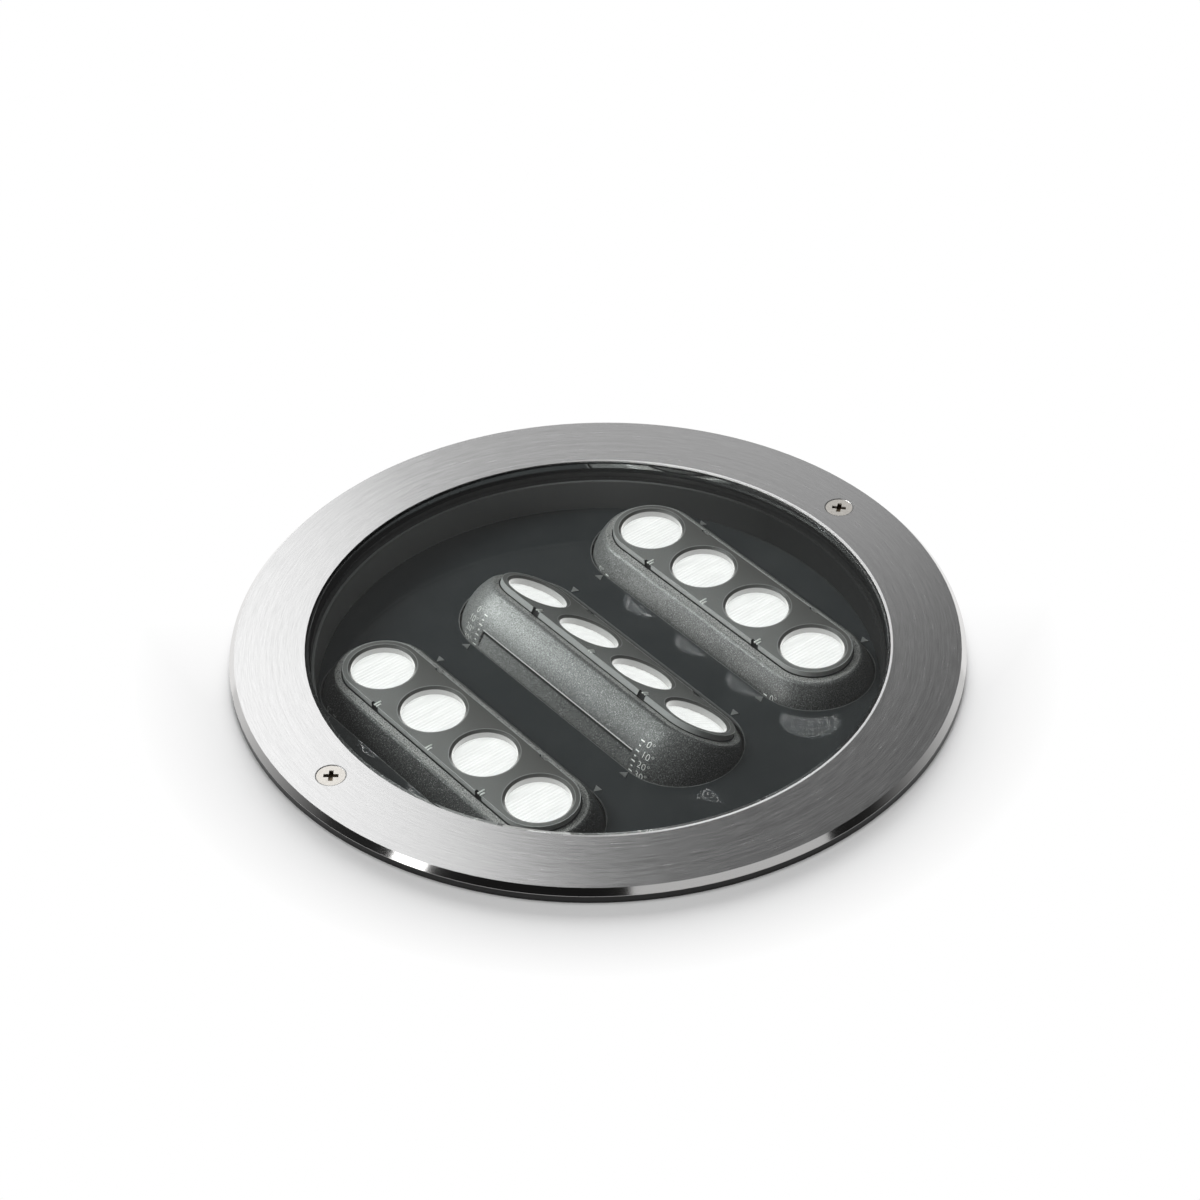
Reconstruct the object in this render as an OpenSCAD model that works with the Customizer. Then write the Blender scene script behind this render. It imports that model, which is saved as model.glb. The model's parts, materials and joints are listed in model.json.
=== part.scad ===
// Round in-ground light with three tilting light bars under a flush glass.
// All lengths are in millimetres. The light stands on its skirt, which is at height zero,
// the ring faces up, the light bars run along Y and are spaced along X.

/* [Whole light] */
// Height from the foot of the skirt to the top of the trim ring
total_h = 150; // [140:1:190]
// Smoothness of round surfaces
facets = 96; // [48:12:144]

/* [Trim ring] */
// Width of the trim ring's face, from the glass opening to the outer edge
trim_w = 28.5; // [26:0.5:40]
// Thickness of the trim ring
trim_t = 5.2; // [4:0.2:6]
// Width of the polished outer chamfer
trim_chamfer_w = 2; // [1:0.25:3]
// Height of the polished outer chamfer
trim_chamfer_h = 2.2; // [1:0.2:3]
// Width of the prying notch in the outer edge
notch_w = 7; // [4:0.5:10]
// Depth of the prying notch
notch_depth = 1.4; // [0.8:0.2:1.8]
// Direction of the prying notch, in degrees from +X
notch_angle = 54; // [20:1:160]
// Distance of the trim screws from the glass opening
trim_screw_inset = 12.5; // [12:0.25:15]
// Nominal diameter of the trim screws
trim_screw_d = 6; // [5:0.5:6]
// Head diameter of the trim screws
trim_screw_head_d = 10.6; // [9.5:0.1:11.4]
// Length of the trim screws
trim_screw_l = 18; // [16:1:20]

/* [Glass and seat] */
// Diameter of the safety glass
glass_d = 220; // [219.5:0.5:240]
// Thickness of the safety glass
glass_t = 8; // [6:0.5:8.5]
// Width of the ground bevel round the top of the glass
glass_bevel = 1; // [0.5:0.1:1.5]
// How far the glass lies below the top of the ring
glass_recess = 0.4; // [0.2:0.1:0.6]
// Thickness of the seal under the glass
seal_t = 2; // [1.5:0.1:2.5]
// Width of the seat under the edge of the glass
seat_w = 1.4; // [1:0.1:2]
// Thickness of the seat's ledge
seat_ledge_t = 2; // [1.5:0.25:3]
// Width of the rubber beside the glass
seal_side = 2; // [1.5:0.25:2.5]
// Wall of the seat ring outside the rubber
seat_wall = 5.4; // [5:0.1:6]
// Number of screws that hold the seat ring to the trim ring
seat_screw_count = 8; // [6:2:10]

/* [Housing] */
// How far the housing's barrel reaches beyond the edge of the glass
barrel_reach = 3; // [2.75:0.25:6]
// Wall of the housing
housing_wall = 3.5; // [2.5:0.25:4]
// Thickness of the mounting flange
flange_t = 5; // [4:0.5:7]
// How far the flange stays inside the trim ring
flange_setback = 5; // [4:0.5:6]
// Thickness of the gasket under the trim ring
flange_gasket_t = 1.5; // [1:0.25:2]
// Thickness of the housing's floor
floor_t = 4; // [3:0.5:6]
// Height of the skirt below the floor
skirt_h = 31; // [29:1:36]
// Width of the cable arches in the skirt
arch_w = 26; // [20:1:30]
// Height of the cable arches in the skirt
arch_h = 20; // [16:1:26]
// Width of the shelf that carries the mask plate
shelf_w = 2.5; // [2:0.25:3]
// Height of that shelf
shelf_h = 3; // [2:0.25:4]

/* [Inner wall and mask plate] */
// Depth of the mask plate below the top of the ring
plate_depth = 26; // [25:0.25:28]
// Thickness of the mask plate
plate_t = 1.5; // [1:0.1:1.8]
// Thickness of the dark inner wall
cowl_wall = 1.5; // [1:0.1:1.6]
// Thickness of the inner wall's top flange
cowl_flange_t = 1.5; // [1:0.1:2]
// Gap between a light bar and its slot
slot_gap = 0.6; // [0.5:0.05:0.8]

/* [Light bars] */
// Distance between the light bars
bar_pitch = 66.2; // [65:0.1:67]
// Radius of a light bar about its tilt axis
bar_r = 24.2; // [23.6:0.1:24.4]
// Distance between the lenses
lens_pitch = 32; // [31:0.25:32.5]
// Height of the bar's rim above its tilt axis
rim_h = 15.3; // [14:0.1:16]
// Rounding of the bar's shoulder
shoulder_r = 2.5; // [2:0.25:3]
// Half width of the pocket in the bar
pocket_half_w = 15.8; // [15.7:0.05:16]
// Height of the pocket's floor above the tilt axis
pocket_floor_h = 2; // [1:0.25:3]
// Depth of the tilt axis below the mask plate
axis_drop = 6.5; // [5.5:0.1:7]
// Tilt of the left light bar, in degrees
left_tilt = 0; // [-30:1:30]
// Tilt of the middle light bar, in degrees
middle_tilt = 30; // [-30:1:30]
// Tilt of the right light bar, in degrees
right_tilt = 0; // [-30:1:30]
// Depth of the flat panel in the bar's side
panel_depth = 0.9; // [0.4:0.1:1.5]
// Height of the panel's top edge above the tilt axis
panel_top_h = 0.8; // [0.4:0.1:1.2]
// Half length of the panel
panel_half_l = 45.5; // [40:0.5:46]
// Width of the slots between the cooling fins
fin_slot_w = 5; // [4:0.25:5.5]
// Distance between the cooling fins
fin_pitch = 9; // [8:0.5:10]
// Depth of the solid deck above the fins, measured from the tilt axis
fin_top_depth = 9; // [8:0.5:12]

/* [Covers and lenses] */
// Height of the cover's face above the tilt axis
cover_top_h = 17.8; // [17:0.1:18]
// Half width of the cover
cover_half_w = 15.3; // [15:0.05:15.4]
// Wall of the cover
cover_wall = 1.3; // [1:0.05:1.35]
// Radius of the lens openings in the cover
hole_r = 12.2; // [11.5:0.1:12.4]
// Width of the chamfer round the lens openings
hole_chamfer = 0.9; // [0.5:0.1:1]
// How far the lenses lie below the cover's face
lens_recess = 3.4; // [2:0.1:4]
// Width of the clip windows in the cover's side
clip_w = 4; // [3:0.25:6]
// Height of the clip windows
clip_h = 4; // [3:0.25:5]
// Depth of the clip windows
clip_depth = 1; // [0.5:0.1:1.1]
// Radius of a lens's flange
lens_flange_r = 12.8; // [12.6:0.05:12.9]
// Thickness of a lens's flange
lens_flange_t = 2; // [1.5:0.1:2.5]
// Radius of a lens's foot
lens_foot_r = 6; // [5:0.25:7]
// Thickness of the circuit boards
board_t = 1.6; // [1:0.1:2]
// Half width of the circuit boards
board_half_w = 12.6; // [12:0.1:12.8]
// Side of the square light chips
chip_w = 3.5; // [3:0.1:4]
// Height of the light chips
chip_h = 0.7; // [0.5:0.1:1]

/* [Pivots and brackets] */
// Diameter of the pivot pins
pin_d = 6; // [5:0.25:6]
// How deep a pin sits in the bar
pin_grip = 6.6; // [6:0.1:6.8]
// Diameter of the pin's head
pin_head_d = 9.2; // [8:0.1:9.4]
// Height of the pin's head
pin_head_h = 2.2; // [1.5:0.1:2.4]
// Radius of the flat round the pin on the bar's end
end_flat_r = 6.9; // [6.5:0.1:7.2]
// Diameter of the friction washers
washer_d = 9.6; // [9:0.1:9.8]
// Thickness of the brackets
bracket_t = 3; // [2.5:0.1:3.2]
// Width of the brackets
bracket_w = 16; // [14:0.5:16]
// Height of the brackets above the tilt axis
bracket_top_h = 4.3; // [4:0.05:4.5]
// Length of a bracket's foot
bracket_foot_l = 14; // [12:0.5:16]
// Depth of the tray below the tilt axis
tray_drop = 30; // [28:0.5:34]

/* [Tray and electrics] */
// Gap between the tray and the housing's shelf
tray_gap = 1; // [0.5:0.25:3]
// Thickness of the tray
tray_t = 2.5; // [2:0.25:3]
// Diameter of the tray's posts
post_d = 10; // [8:0.5:12]
// Gap between the posts and the housing's wall
post_wall_gap = 14; // [8:0.5:24]
// Angle of the posts' places from the X axis
post_turn = 22; // [18:1:26]
// Radius of the opening for the leads
lead_opening_r = 12; // [8:0.5:14]
// Length of the driver's case
driver_l = 112; // [100:1:116]
// Width of the driver's case
driver_w = 44; // [36:1:48]
// Height of the driver's case as a share of the space under the tray
driver_h_share = 0.52; // [0.4:0.01:0.56]
// Wall of the driver's case
driver_wall = 2; // [1.5:0.25:3]
// Length of the driver's fixing ears
driver_ear = 9; // [8:0.5:12]
// Length of the terminal block
terminal_l = 40; // [34:1:48]
// Depth of the terminal block
terminal_w = 18; // [16:1:20]
// Height of the terminal block
terminal_h = 16; // [14:1:20]
// Number of poles
terminal_poles = 3; // [2:1:4]

/* [Cable entry] */
// Diameter of the cable that the gland takes
cable_d = 9; // [7:0.5:10]
// Thread diameter of the gland
gland_thread_d = 16; // [15:0.5:16]
// Width across the flats of the gland's nuts
gland_flats = 22; // [20:0.5:24]
// Distance of the gland from the middle of the floor
gland_offset = 66; // [60:1:70]
// Diameter of the vent plug's head
vent_head_d = 18; // [15:0.5:20]

/* [Fasteners] */
// Nominal diameter of the small screws
small_screw_d = 3; // [2.5:0.1:3]
// Length of the small screws under the head
small_screw_l = 6; // [5:0.5:7]

/* [Hidden] */
$fn = facets;

// Fits: a cut's overrun, a close fit, a running fit, a loose fit and a clear gap
over = 1;
fit = 0.03;
running = 0.05;
loose = 0.25;
clear = 0.5;

// Places of the trim ring, the glass and what seals it, from the top down
trim_bottom = total_h - trim_t;
glass_r = glass_d / 2;
trim_inner_r = glass_r + clear;
trim_r = trim_inner_r + trim_w;
glass_top = total_h - glass_recess;
glass_bottom = glass_top - glass_t;
seat_ledge = glass_bottom - seal_t;
seat_bottom = seat_ledge - seat_ledge_t;
seat_inner_r = glass_r - seat_w;
seal_r = glass_r + seal_side;
seat_r = seal_r + seat_wall;
seal_lip = total_h - 3 * glass_recess;
seat_screw_r = (seal_r + seat_r) / 2;
seat_screw_d = 2.5;
seat_screw_bite = 3;

// Places of the housing
flange_top = trim_bottom - flange_gasket_t;
flange_bottom = flange_top - flange_t;
flange_r = trim_r - flange_setback;
neck_inner_r = seat_r + clear;
neck_r = neck_inner_r + housing_wall;
step_h = seat_bottom - cowl_flange_t;
neck_bottom = step_h - housing_wall;
barrel_r = glass_r + barrel_reach;
barrel_inner_r = barrel_r - housing_wall;
cone_bottom = neck_bottom - (neck_r - barrel_r);
floor_top = skirt_h + floor_t;
boss_r = 2.2 * trim_screw_d / 2;
screw_circle_r = trim_inner_r + trim_screw_inset;
trim_head_h = (trim_screw_head_d - trim_screw_d) / 2;
trim_head_top = total_h - glass_recess / 2;
trim_screw_tip = trim_head_top - trim_screw_l - trim_head_h;
boss_bottom = trim_screw_tip - housing_wall;

// Places of the inner wall and the mask plate
plate_top = total_h - plate_depth;
plate_bottom = plate_top - plate_t;
plate_r = barrel_inner_r - loose;
shelf_inner_r = barrel_inner_r - shelf_w;
shelf_bottom = plate_bottom - shelf_h;
cowl_r = barrel_inner_r - clear;
cowl_inner_r = cowl_r - cowl_wall;

// Places inside a light bar, measured from its tilt axis
axis_z = plate_top - axis_drop;
end_y = 1.5 * lens_pitch;
lens_ys = [-1.5 * lens_pitch, -lens_pitch / 2, lens_pitch / 2, 1.5 * lens_pitch];
gap_ys = [-lens_pitch, 0, lens_pitch];
board_top = pocket_floor_h + board_t;
lens_top = cover_top_h - lens_recess;
lens_flange_bottom = lens_top - lens_flange_t;
lens_foot_h = 1.5;
lens_bore_r = 0.7 * lens_foot_r;
lens_bore_top = board_top + 2 * lens_foot_h;
cover_inner_half_w = cover_half_w - cover_wall;
shoulder_y = rim_h - shoulder_r;
shoulder_x = sqrt(pow(bar_r - shoulder_r, 2) - pow(shoulder_y, 2));
shoulder_reach_share = 1.2;
fin_count = 13;
end_flat_y = end_y + sqrt(pow(bar_r, 2) - pow(end_flat_r, 2));
pin_r = pin_d / 2;
bracket_inner_y = end_y + bar_r + loose / 2;
bracket_outer_y = bracket_inner_y + bracket_t;
pin_head_y = bracket_outer_y + running;
bracket_screw_x = bracket_w / 2 - small_screw_d;
bracket_screw_y = bracket_inner_y - bracket_foot_l * 0.6;
slot_r = sqrt(pow(bar_r, 2) - pow(axis_drop - plate_t, 2)) + slot_gap;
left_x = -bar_pitch;
middle_x = 0;
right_x = bar_pitch;

// Screw heads, as shares of the screw's diameter and of the head's radius and height
head_r_share = 0.92;
head_h_share = 0.65;
cross_w_share = 0.32;
cross_l_share = 1.04;
cross_depth_share = 0.75;

// Small screws and what they hold
screw_r = small_screw_d / 2;
screw_head_r = head_r_share * small_screw_d;
screw_head_h = head_h_share * small_screw_d;
seat_screw_head_r = head_r_share * seat_screw_d;
seat_screw_head_h = head_h_share * seat_screw_d;
seat_screw_l = trim_bottom + seat_screw_bite - seat_bottom - seat_screw_head_h - loose;
tray_r = shelf_inner_r - tray_gap;
lead_hole_r = small_screw_d;
tray_top = axis_z - tray_drop;
tray_bottom = tray_top - tray_t;
post_circle_r = barrel_inner_r - post_wall_gap - post_d / 2;
post_xs = [-post_circle_r * cos(post_turn), post_circle_r * cos(post_turn)];
post_ys = [-post_circle_r * sin(post_turn), post_circle_r * sin(post_turn)];
ear_x = (driver_l + driver_ear) / 2;
ear_t = driver_wall * 1.25;
driver_h = (tray_bottom - floor_top) * driver_h_share;
driver_top = floor_top + driver_h;
driver_lid_t = driver_wall;
terminal_y = driver_w / 2 + terminal_w;
terminal_step = terminal_l / terminal_poles;
terminal_wire_r = terminal_step * 0.18;
terminal_wire_h = terminal_h * 0.35;
earth_x = -terminal_l - small_screw_d;
earth_washer_t = small_screw_d / 4;

// Cable gland and vent below the floor
gland_y = -gland_offset;
gland_thread_r = gland_thread_d / 2;
gland_hex_r = gland_flats / 2 / cos(30);
gland_washer_t = 1.2;
gland_hex_h = gland_flats * 0.25;
gland_cap_h = gland_flats * 0.7;
gland_bore_r = cable_d / 2 + 1.2 * clear;
gland_seal_r = gland_thread_r - 4 * loose;
gland_hex_top = skirt_h - gland_washer_t;
gland_hex_bottom = gland_hex_top - gland_hex_h;
gland_cap_bottom = gland_hex_bottom - gland_cap_h;
gland_nut_h = gland_flats * 0.22;
gland_seal_l = gland_cap_h * 0.6;
gland_neck_r = gland_seal_r + loose;
gland_cap_roof = gland_cap_h * 0.15;
vent_x = gland_offset * 0.6;
vent_shaft_r = vent_head_d * 0.3;
vent_head_h = vent_head_d * 0.35;
vent_slot_w = vent_head_d * 0.1;

// Shared shapes

// A flat ring standing on height z
module ring(inner, outer, z, h) {
    translate([0, 0, z])
        difference() {
            cylinder(h = h, r = outer);
            translate([0, 0, -over])
                cylinder(h = h + 2 * over, r = inner);
        }
}

// A plate with straight sides along Y and round ends, standing on height z
module stadium(half_w, centre_y, z, h) {
    translate([0, 0, z])
        linear_extrude(height = h) {
            translate([-half_w, -centre_y])
                square([2 * half_w, 2 * centre_y]);
            for (y = [-centre_y, centre_y])
                translate([0, y])
                    circle(r = half_w);
        }
}

// Two crossed slots cut into a screw head, standing on height z
module cross_slots(head_r, z, depth) {
    slot_w = head_r * cross_w_share;
    slot_l = head_r * cross_l_share;
    for (turn = [0, 90])
        rotate([0, 0, turn])
            translate([-slot_w / 2, -slot_l / 2, z - depth])
                cube([slot_w, slot_l, depth + over]);
}

// A screw that points down, with the underside of its head at height zero
module small_screw(length = small_screw_l, d = small_screw_d) {
    head_h = head_h_share * d;
    difference() {
        union() {
            cylinder(h = head_h, r = head_r_share * d);
            translate([0, 0, -length])
                cylinder(h = length + head_h / 2, r = d / 2);
        }
        cross_slots(head_r_share * d, head_h, head_h * cross_depth_share);
    }
}

// The blind hole that a small screw bites into, measured from the seat of its head
module small_screw_hole(length = small_screw_l) {
    translate([0, 0, -length - clear])
        cylinder(h = length + clear + over, r = screw_r + fit);
}

// Puts a light bar's pieces on their tilt axis
module on_axis(x, tilt) {
    translate([x, 0, axis_z])
        rotate([0, tilt, 0])
            children();
}

// Trim ring, glass and seat

module trim_screw_places() {
    for (side = [-1, 1])
        translate([side * screw_circle_r, 0, 0])
            rotate([0, 0, 40 * side])
                children();
}

module seat_screw_places() {
    for (i = [0 : seat_screw_count - 1])
        rotate([0, 0, (i + 0.5) * 360 / seat_screw_count])
            translate([seat_screw_r, 0, 0])
                children();
}

module trim_ring() {
    color("silver")
        difference() {
            rotate_extrude()
                polygon([[trim_inner_r, trim_bottom], [trim_r, trim_bottom],
                    [trim_r, total_h - trim_chamfer_h], [trim_r - trim_chamfer_w, total_h],
                    [trim_inner_r, total_h]]);
            trim_screw_places() {
                translate([0, 0, trim_bottom - over])
                    cylinder(h = trim_t + 2 * over, r = trim_screw_d / 2 + loose);
                translate([0, 0, trim_head_top - trim_head_h])
                    cylinder(h = trim_head_h + glass_recess, r1 = trim_screw_d / 2 + fit,
                        r2 = trim_screw_head_d / 2 + fit + glass_recess);
            }
            seat_screw_places()
                translate([0, 0, trim_bottom - over])
                    cylinder(h = seat_screw_bite + over, r = seat_screw_d / 2 + fit);
            rotate([0, 0, notch_angle])
                translate([trim_r - notch_depth, -notch_w / 2, trim_bottom - over])
                    cube([notch_depth + over, notch_w, trim_t + 2 * over]);
        }
}

module trim_screws() {
    color("gainsboro")
        trim_screw_places()
            difference() {
                rotate_extrude()
                    polygon([[0, trim_screw_tip], [trim_screw_d / 2, trim_screw_tip],
                        [trim_screw_d / 2, trim_head_top - trim_head_h],
                        [trim_screw_head_d / 2, trim_head_top], [0, trim_head_top]]);
                cross_slots(trim_screw_head_d / 2, trim_head_top, trim_head_h * cross_depth_share);
            }
}

module glass() {
    color("lightblue", 0.35)
        rotate_extrude()
            polygon([[0, glass_bottom], [glass_r, glass_bottom], [glass_r, glass_top - glass_bevel / 2],
                [glass_r - glass_bevel, glass_top], [0, glass_top]]);
}

module glass_seal() {
    color("black")
        rotate_extrude()
            polygon([[seat_inner_r, seat_ledge], [seal_r, seat_ledge], [seal_r, trim_bottom],
                [trim_inner_r - fit, trim_bottom], [trim_inner_r - fit, seal_lip],
                [glass_r + fit, seal_lip], [glass_r + fit, glass_bottom],
                [seat_inner_r, glass_bottom]]);
}

module seat_ring() {
    color("dimgray")
        difference() {
            rotate_extrude()
                polygon([[seat_inner_r, seat_bottom], [seat_r, seat_bottom], [seat_r, trim_bottom],
                    [seal_r + fit, trim_bottom], [seal_r + fit, seat_ledge],
                    [seat_inner_r, seat_ledge]]);
            seat_screw_places() {
                translate([0, 0, seat_bottom - over])
                    cylinder(h = trim_bottom - seat_bottom + 2 * over, r = seat_screw_d / 2 + fit);
                translate([0, 0, seat_bottom - over])
                    cylinder(h = seat_screw_head_h + fit + over, r = seat_screw_head_r + fit);
            }
        }
}

module seat_screws() {
    color("gainsboro")
        seat_screw_places()
            translate([0, 0, seat_bottom + seat_screw_head_h + fit])
                rotate([180, 0, 0])
                    small_screw(length = seat_screw_l, d = seat_screw_d);
}

// Housing and what lies in its mouth

module flange_gasket() {
    color("black")
        difference() {
            ring(neck_inner_r + fit, flange_r - clear, flange_top, flange_gasket_t);
            trim_screw_places()
                translate([0, 0, flange_top - over])
                    cylinder(h = flange_gasket_t + 2 * over, r = trim_screw_d / 2 + loose);
        }
}

module mounting_flange() {
    color("#26282a")
        difference() {
            union() {
                rotate_extrude()
                    polygon([[barrel_inner_r, cone_bottom], [barrel_r, cone_bottom],
                        [neck_r, neck_bottom], [neck_r, flange_bottom], [flange_r, flange_bottom],
                        [flange_r, flange_top], [neck_inner_r, flange_top], [neck_inner_r, step_h],
                        [barrel_inner_r, step_h]]);
                trim_screw_places()
                    translate([0, 0, boss_bottom])
                        cylinder(h = flange_top - boss_bottom - flange_t / 2, r = boss_r);
            }
            translate([0, 0, step_h])
                cylinder(h = flange_top - step_h + over, r = neck_inner_r);
            trim_screw_places()
                translate([0, 0, trim_screw_tip - clear])
                    cylinder(h = flange_top - trim_screw_tip + clear + over, r = trim_screw_d / 2 + fit);
        }
}

module floor_holes() {
    translate([0, gland_y, skirt_h - over])
        cylinder(h = floor_t + 2 * over, r = gland_thread_r + fit);
    translate([vent_x, gland_y, skirt_h - over])
        cylinder(h = floor_t + 2 * over, r = vent_shaft_r + fit);
    for (x = post_xs, y = post_ys)
        translate([x, y, skirt_h - over])
            cylinder(h = floor_t + 2 * over, r = screw_r + loose);
    for (x = [-ear_x, ear_x])
        translate([x, 0, floor_top])
            small_screw_hole(length = floor_t / 2);
    translate([earth_x, terminal_y, floor_top])
        small_screw_hole(length = floor_t / 2);
}

module housing() {
    color("#26282a")
        difference() {
            rotate_extrude()
                polygon([[0, skirt_h], [barrel_r, skirt_h], [barrel_r, cone_bottom],
                    [barrel_inner_r, cone_bottom], [barrel_inner_r, plate_bottom],
                    [shelf_inner_r, plate_bottom], [shelf_inner_r, shelf_bottom],
                    [barrel_inner_r, shelf_bottom], [barrel_inner_r, floor_top], [0, floor_top]]);
            floor_holes();
        }
}

module skirt() {
    color("#26282a")
        difference() {
            ring(barrel_inner_r, barrel_r, 0, skirt_h);
            translate([-arch_w / 2, -barrel_r - over, -over])
                cube([arch_w, 2 * (barrel_r + over), arch_h - arch_w / 2 + over]);
            translate([0, -barrel_r - over, arch_h - arch_w / 2])
                rotate([-90, 0, 0])
                    cylinder(h = 2 * (barrel_r + over), r = arch_w / 2);
        }
}

module inner_wall() {
    color("#3c3e40")
        rotate_extrude()
            polygon([[cowl_inner_r, plate_top], [cowl_r, plate_top], [cowl_r, step_h],
                [neck_inner_r - loose, step_h], [neck_inner_r - loose, seat_bottom],
                [cowl_inner_r, seat_bottom]]);
}

module mask_plate() {
    color("#303438")
        difference() {
            translate([0, 0, plate_bottom])
                cylinder(h = plate_t, r = plate_r);
            for (x = [left_x, middle_x, right_x])
                translate([x, 0, 0])
                    stadium(slot_r, end_y, plate_bottom - over, plate_t + 2 * over);
        }
}

// Light bars, drawn on their tilt axis

// Outline across a bar: a circle cut flat at the rim, with a rounded shoulder
module bar_outline() {
    difference() {
        intersection() {
            circle(r = bar_r);
            translate([-bar_r, -bar_r])
                square([2 * bar_r, bar_r + rim_h]);
        }
        for (side = [0, 1])
            mirror([side, 0])
                difference() {
                    polygon([[shoulder_x, shoulder_y], [shoulder_x, rim_h + over],
                        [bar_r, rim_h + over],
                        [shoulder_x * shoulder_reach_share, shoulder_y * shoulder_reach_share]]);
                    translate([shoulder_x, shoulder_y])
                        circle(r = shoulder_r);
                }
    }
}

// One round end of a bar, the outline turned about a vertical axis
module bar_end() {
    rotate_extrude(angle = 180)
        intersection() {
            bar_outline();
            translate([0, -bar_r])
                square([bar_r, 2 * bar_r]);
        }
}

module bar_solid() {
    rotate([90, 0, 0])
        linear_extrude(height = 2 * end_y, center = true)
            bar_outline();
    translate([0, end_y, 0])
        bar_end();
    translate([0, -end_y, 0])
        rotate([0, 0, 180])
            bar_end();
}

module fin_slots() {
    for (i = [0 : fin_count - 1])
        translate([-bar_r - over, (i - (fin_count - 1) / 2) * fin_pitch - fin_slot_w / 2, -bar_r - over])
            cube([2 * (bar_r + over), fin_slot_w, bar_r + over - fin_top_depth]);
}

module bar_body() {
    color("#5b5f62")
        difference() {
            bar_solid();
            stadium(pocket_half_w, end_y, pocket_floor_h, rim_h - pocket_floor_h + over);
            fin_slots();
            for (side = [0, 1])
                mirror([side, 0, 0])
                    translate([bar_r - panel_depth, -panel_half_l, panel_top_h - fin_top_depth])
                        cube([panel_depth + over, 2 * panel_half_l, fin_top_depth]);
            for (side = [0, 1])
                mirror([0, side, 0]) {
                    translate([-bar_r, end_flat_y, -bar_r])
                        cube([2 * bar_r, bar_r, 2 * bar_r]);
                    translate([0, end_flat_y - pin_grip - fit, 0])
                        rotate([-90, 0, 0])
                            cylinder(h = pin_grip + fit + over, r = pin_r + fit);
                }
            for (y = gap_ys)
                translate([0, y, pocket_floor_h])
                    small_screw_hole();
            translate([0, end_y + lens_foot_r + lead_hole_r + clear, -fin_top_depth - over])
                cylinder(h = pocket_floor_h + fin_top_depth + 2 * over, r = lead_hole_r);
        }
}

module bar_board() {
    color("white")
        difference() {
            stadium(board_half_w, end_y, pocket_floor_h, board_t);
            for (y = gap_ys)
                translate([0, y, pocket_floor_h - over])
                    cylinder(h = board_t + 2 * over, r = screw_r + loose);
            translate([0, end_y + lens_foot_r + lead_hole_r + clear, pocket_floor_h - over])
                cylinder(h = board_t + 2 * over, r = lead_hole_r / 2);
        }
}

module bar_chips() {
    color("khaki")
        for (y = lens_ys)
            translate([-chip_w / 2, y - chip_w / 2, board_top])
                cube([chip_w, chip_w, chip_h]);
}

module bar_board_screws() {
    color("gainsboro")
        for (y = gap_ys)
            translate([0, y, board_top])
                small_screw();
}

module bar_lenses() {
    color("white", 0.7)
        for (y = lens_ys)
            translate([0, y, 0])
                rotate_extrude()
                    polygon([[lens_bore_r, board_top], [lens_foot_r, board_top],
                        [lens_foot_r, board_top + lens_foot_h],
                        [lens_flange_r - clear, lens_flange_bottom], [lens_flange_r, lens_flange_bottom],
                        [lens_flange_r, lens_top], [0, lens_top], [0, lens_bore_top],
                        [lens_bore_r, lens_bore_top]]);
}

module bar_cover() {
    color("#2e2b29")
        difference() {
            stadium(cover_half_w, end_y, pocket_floor_h, cover_top_h - pocket_floor_h);
            stadium(cover_inner_half_w, end_y, pocket_floor_h - over, lens_top - pocket_floor_h + over);
            for (y = lens_ys)
                translate([0, y, 0]) {
                    translate([0, 0, lens_top - over])
                        cylinder(h = lens_recess + 2 * over, r = hole_r);
                    translate([0, 0, cover_top_h - hole_chamfer])
                        cylinder(h = 2 * hole_chamfer, r1 = hole_r, r2 = hole_r + 2 * hole_chamfer);
                }
            for (side = [0, 1], y = [-lens_pitch, lens_pitch])
                mirror([side, 0, 0])
                    translate([cover_half_w - clip_depth, y - clip_w / 2, cover_top_h - clip_h])
                        cube([clip_depth + over, clip_w, clip_h + over]);
        }
}

module bar_pins() {
    color("gainsboro")
        for (side = [0, 1])
            mirror([0, side, 0]) {
                translate([0, end_flat_y - pin_grip, 0])
                    rotate([-90, 0, 0])
                        cylinder(h = pin_head_y - end_flat_y + pin_grip + pin_head_h / 2, r = pin_r);
                translate([0, pin_head_y, 0])
                    rotate([-90, 0, 0])
                        cylinder(h = pin_head_h, r = pin_head_d / 2);
            }
}

module bar_washers() {
    color("dimgray")
        for (side = [0, 1])
            mirror([0, side, 0])
                translate([0, end_flat_y, 0])
                    rotate([-90, 0, 0])
                        ring(pin_r + running, washer_d / 2, 0, bracket_inner_y - end_flat_y - running);
}

// Brackets, tray and posts

module bracket_pair(x) {
    color("darkgray")
        translate([x, 0, axis_z])
            for (side = [0, 1])
                mirror([0, side, 0])
                    difference() {
                        union() {
                            translate([-bracket_w / 2, bracket_inner_y, -tray_drop])
                                cube([bracket_w, bracket_t, tray_drop + bracket_top_h]);
                            translate([-bracket_w / 2, bracket_inner_y - bracket_foot_l, -tray_drop])
                                cube([bracket_w, bracket_foot_l + bracket_t / 2, bracket_t]);
                        }
                        translate([0, bracket_inner_y - over, 0])
                            rotate([-90, 0, 0])
                                cylinder(h = bracket_t + 2 * over, r = pin_r + running);
                        for (screw_x = [-bracket_screw_x, bracket_screw_x])
                            translate([screw_x, bracket_screw_y, -tray_drop - over])
                                cylinder(h = bracket_t + 2 * over, r = screw_r + loose);
                    }
}

module bracket_screw_places() {
    for (x = [left_x, middle_x, right_x], side = [-1, 1], screw_x = [-bracket_screw_x, bracket_screw_x])
        translate([x + screw_x, side * bracket_screw_y, 0])
            children();
}

module post_places() {
    for (x = post_xs, y = post_ys)
        translate([x, y, 0])
            children();
}

module bracket_screws() {
    color("gainsboro")
        bracket_screw_places()
            translate([0, 0, tray_top + bracket_t])
                small_screw(length = bracket_t + tray_t);
}

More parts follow.
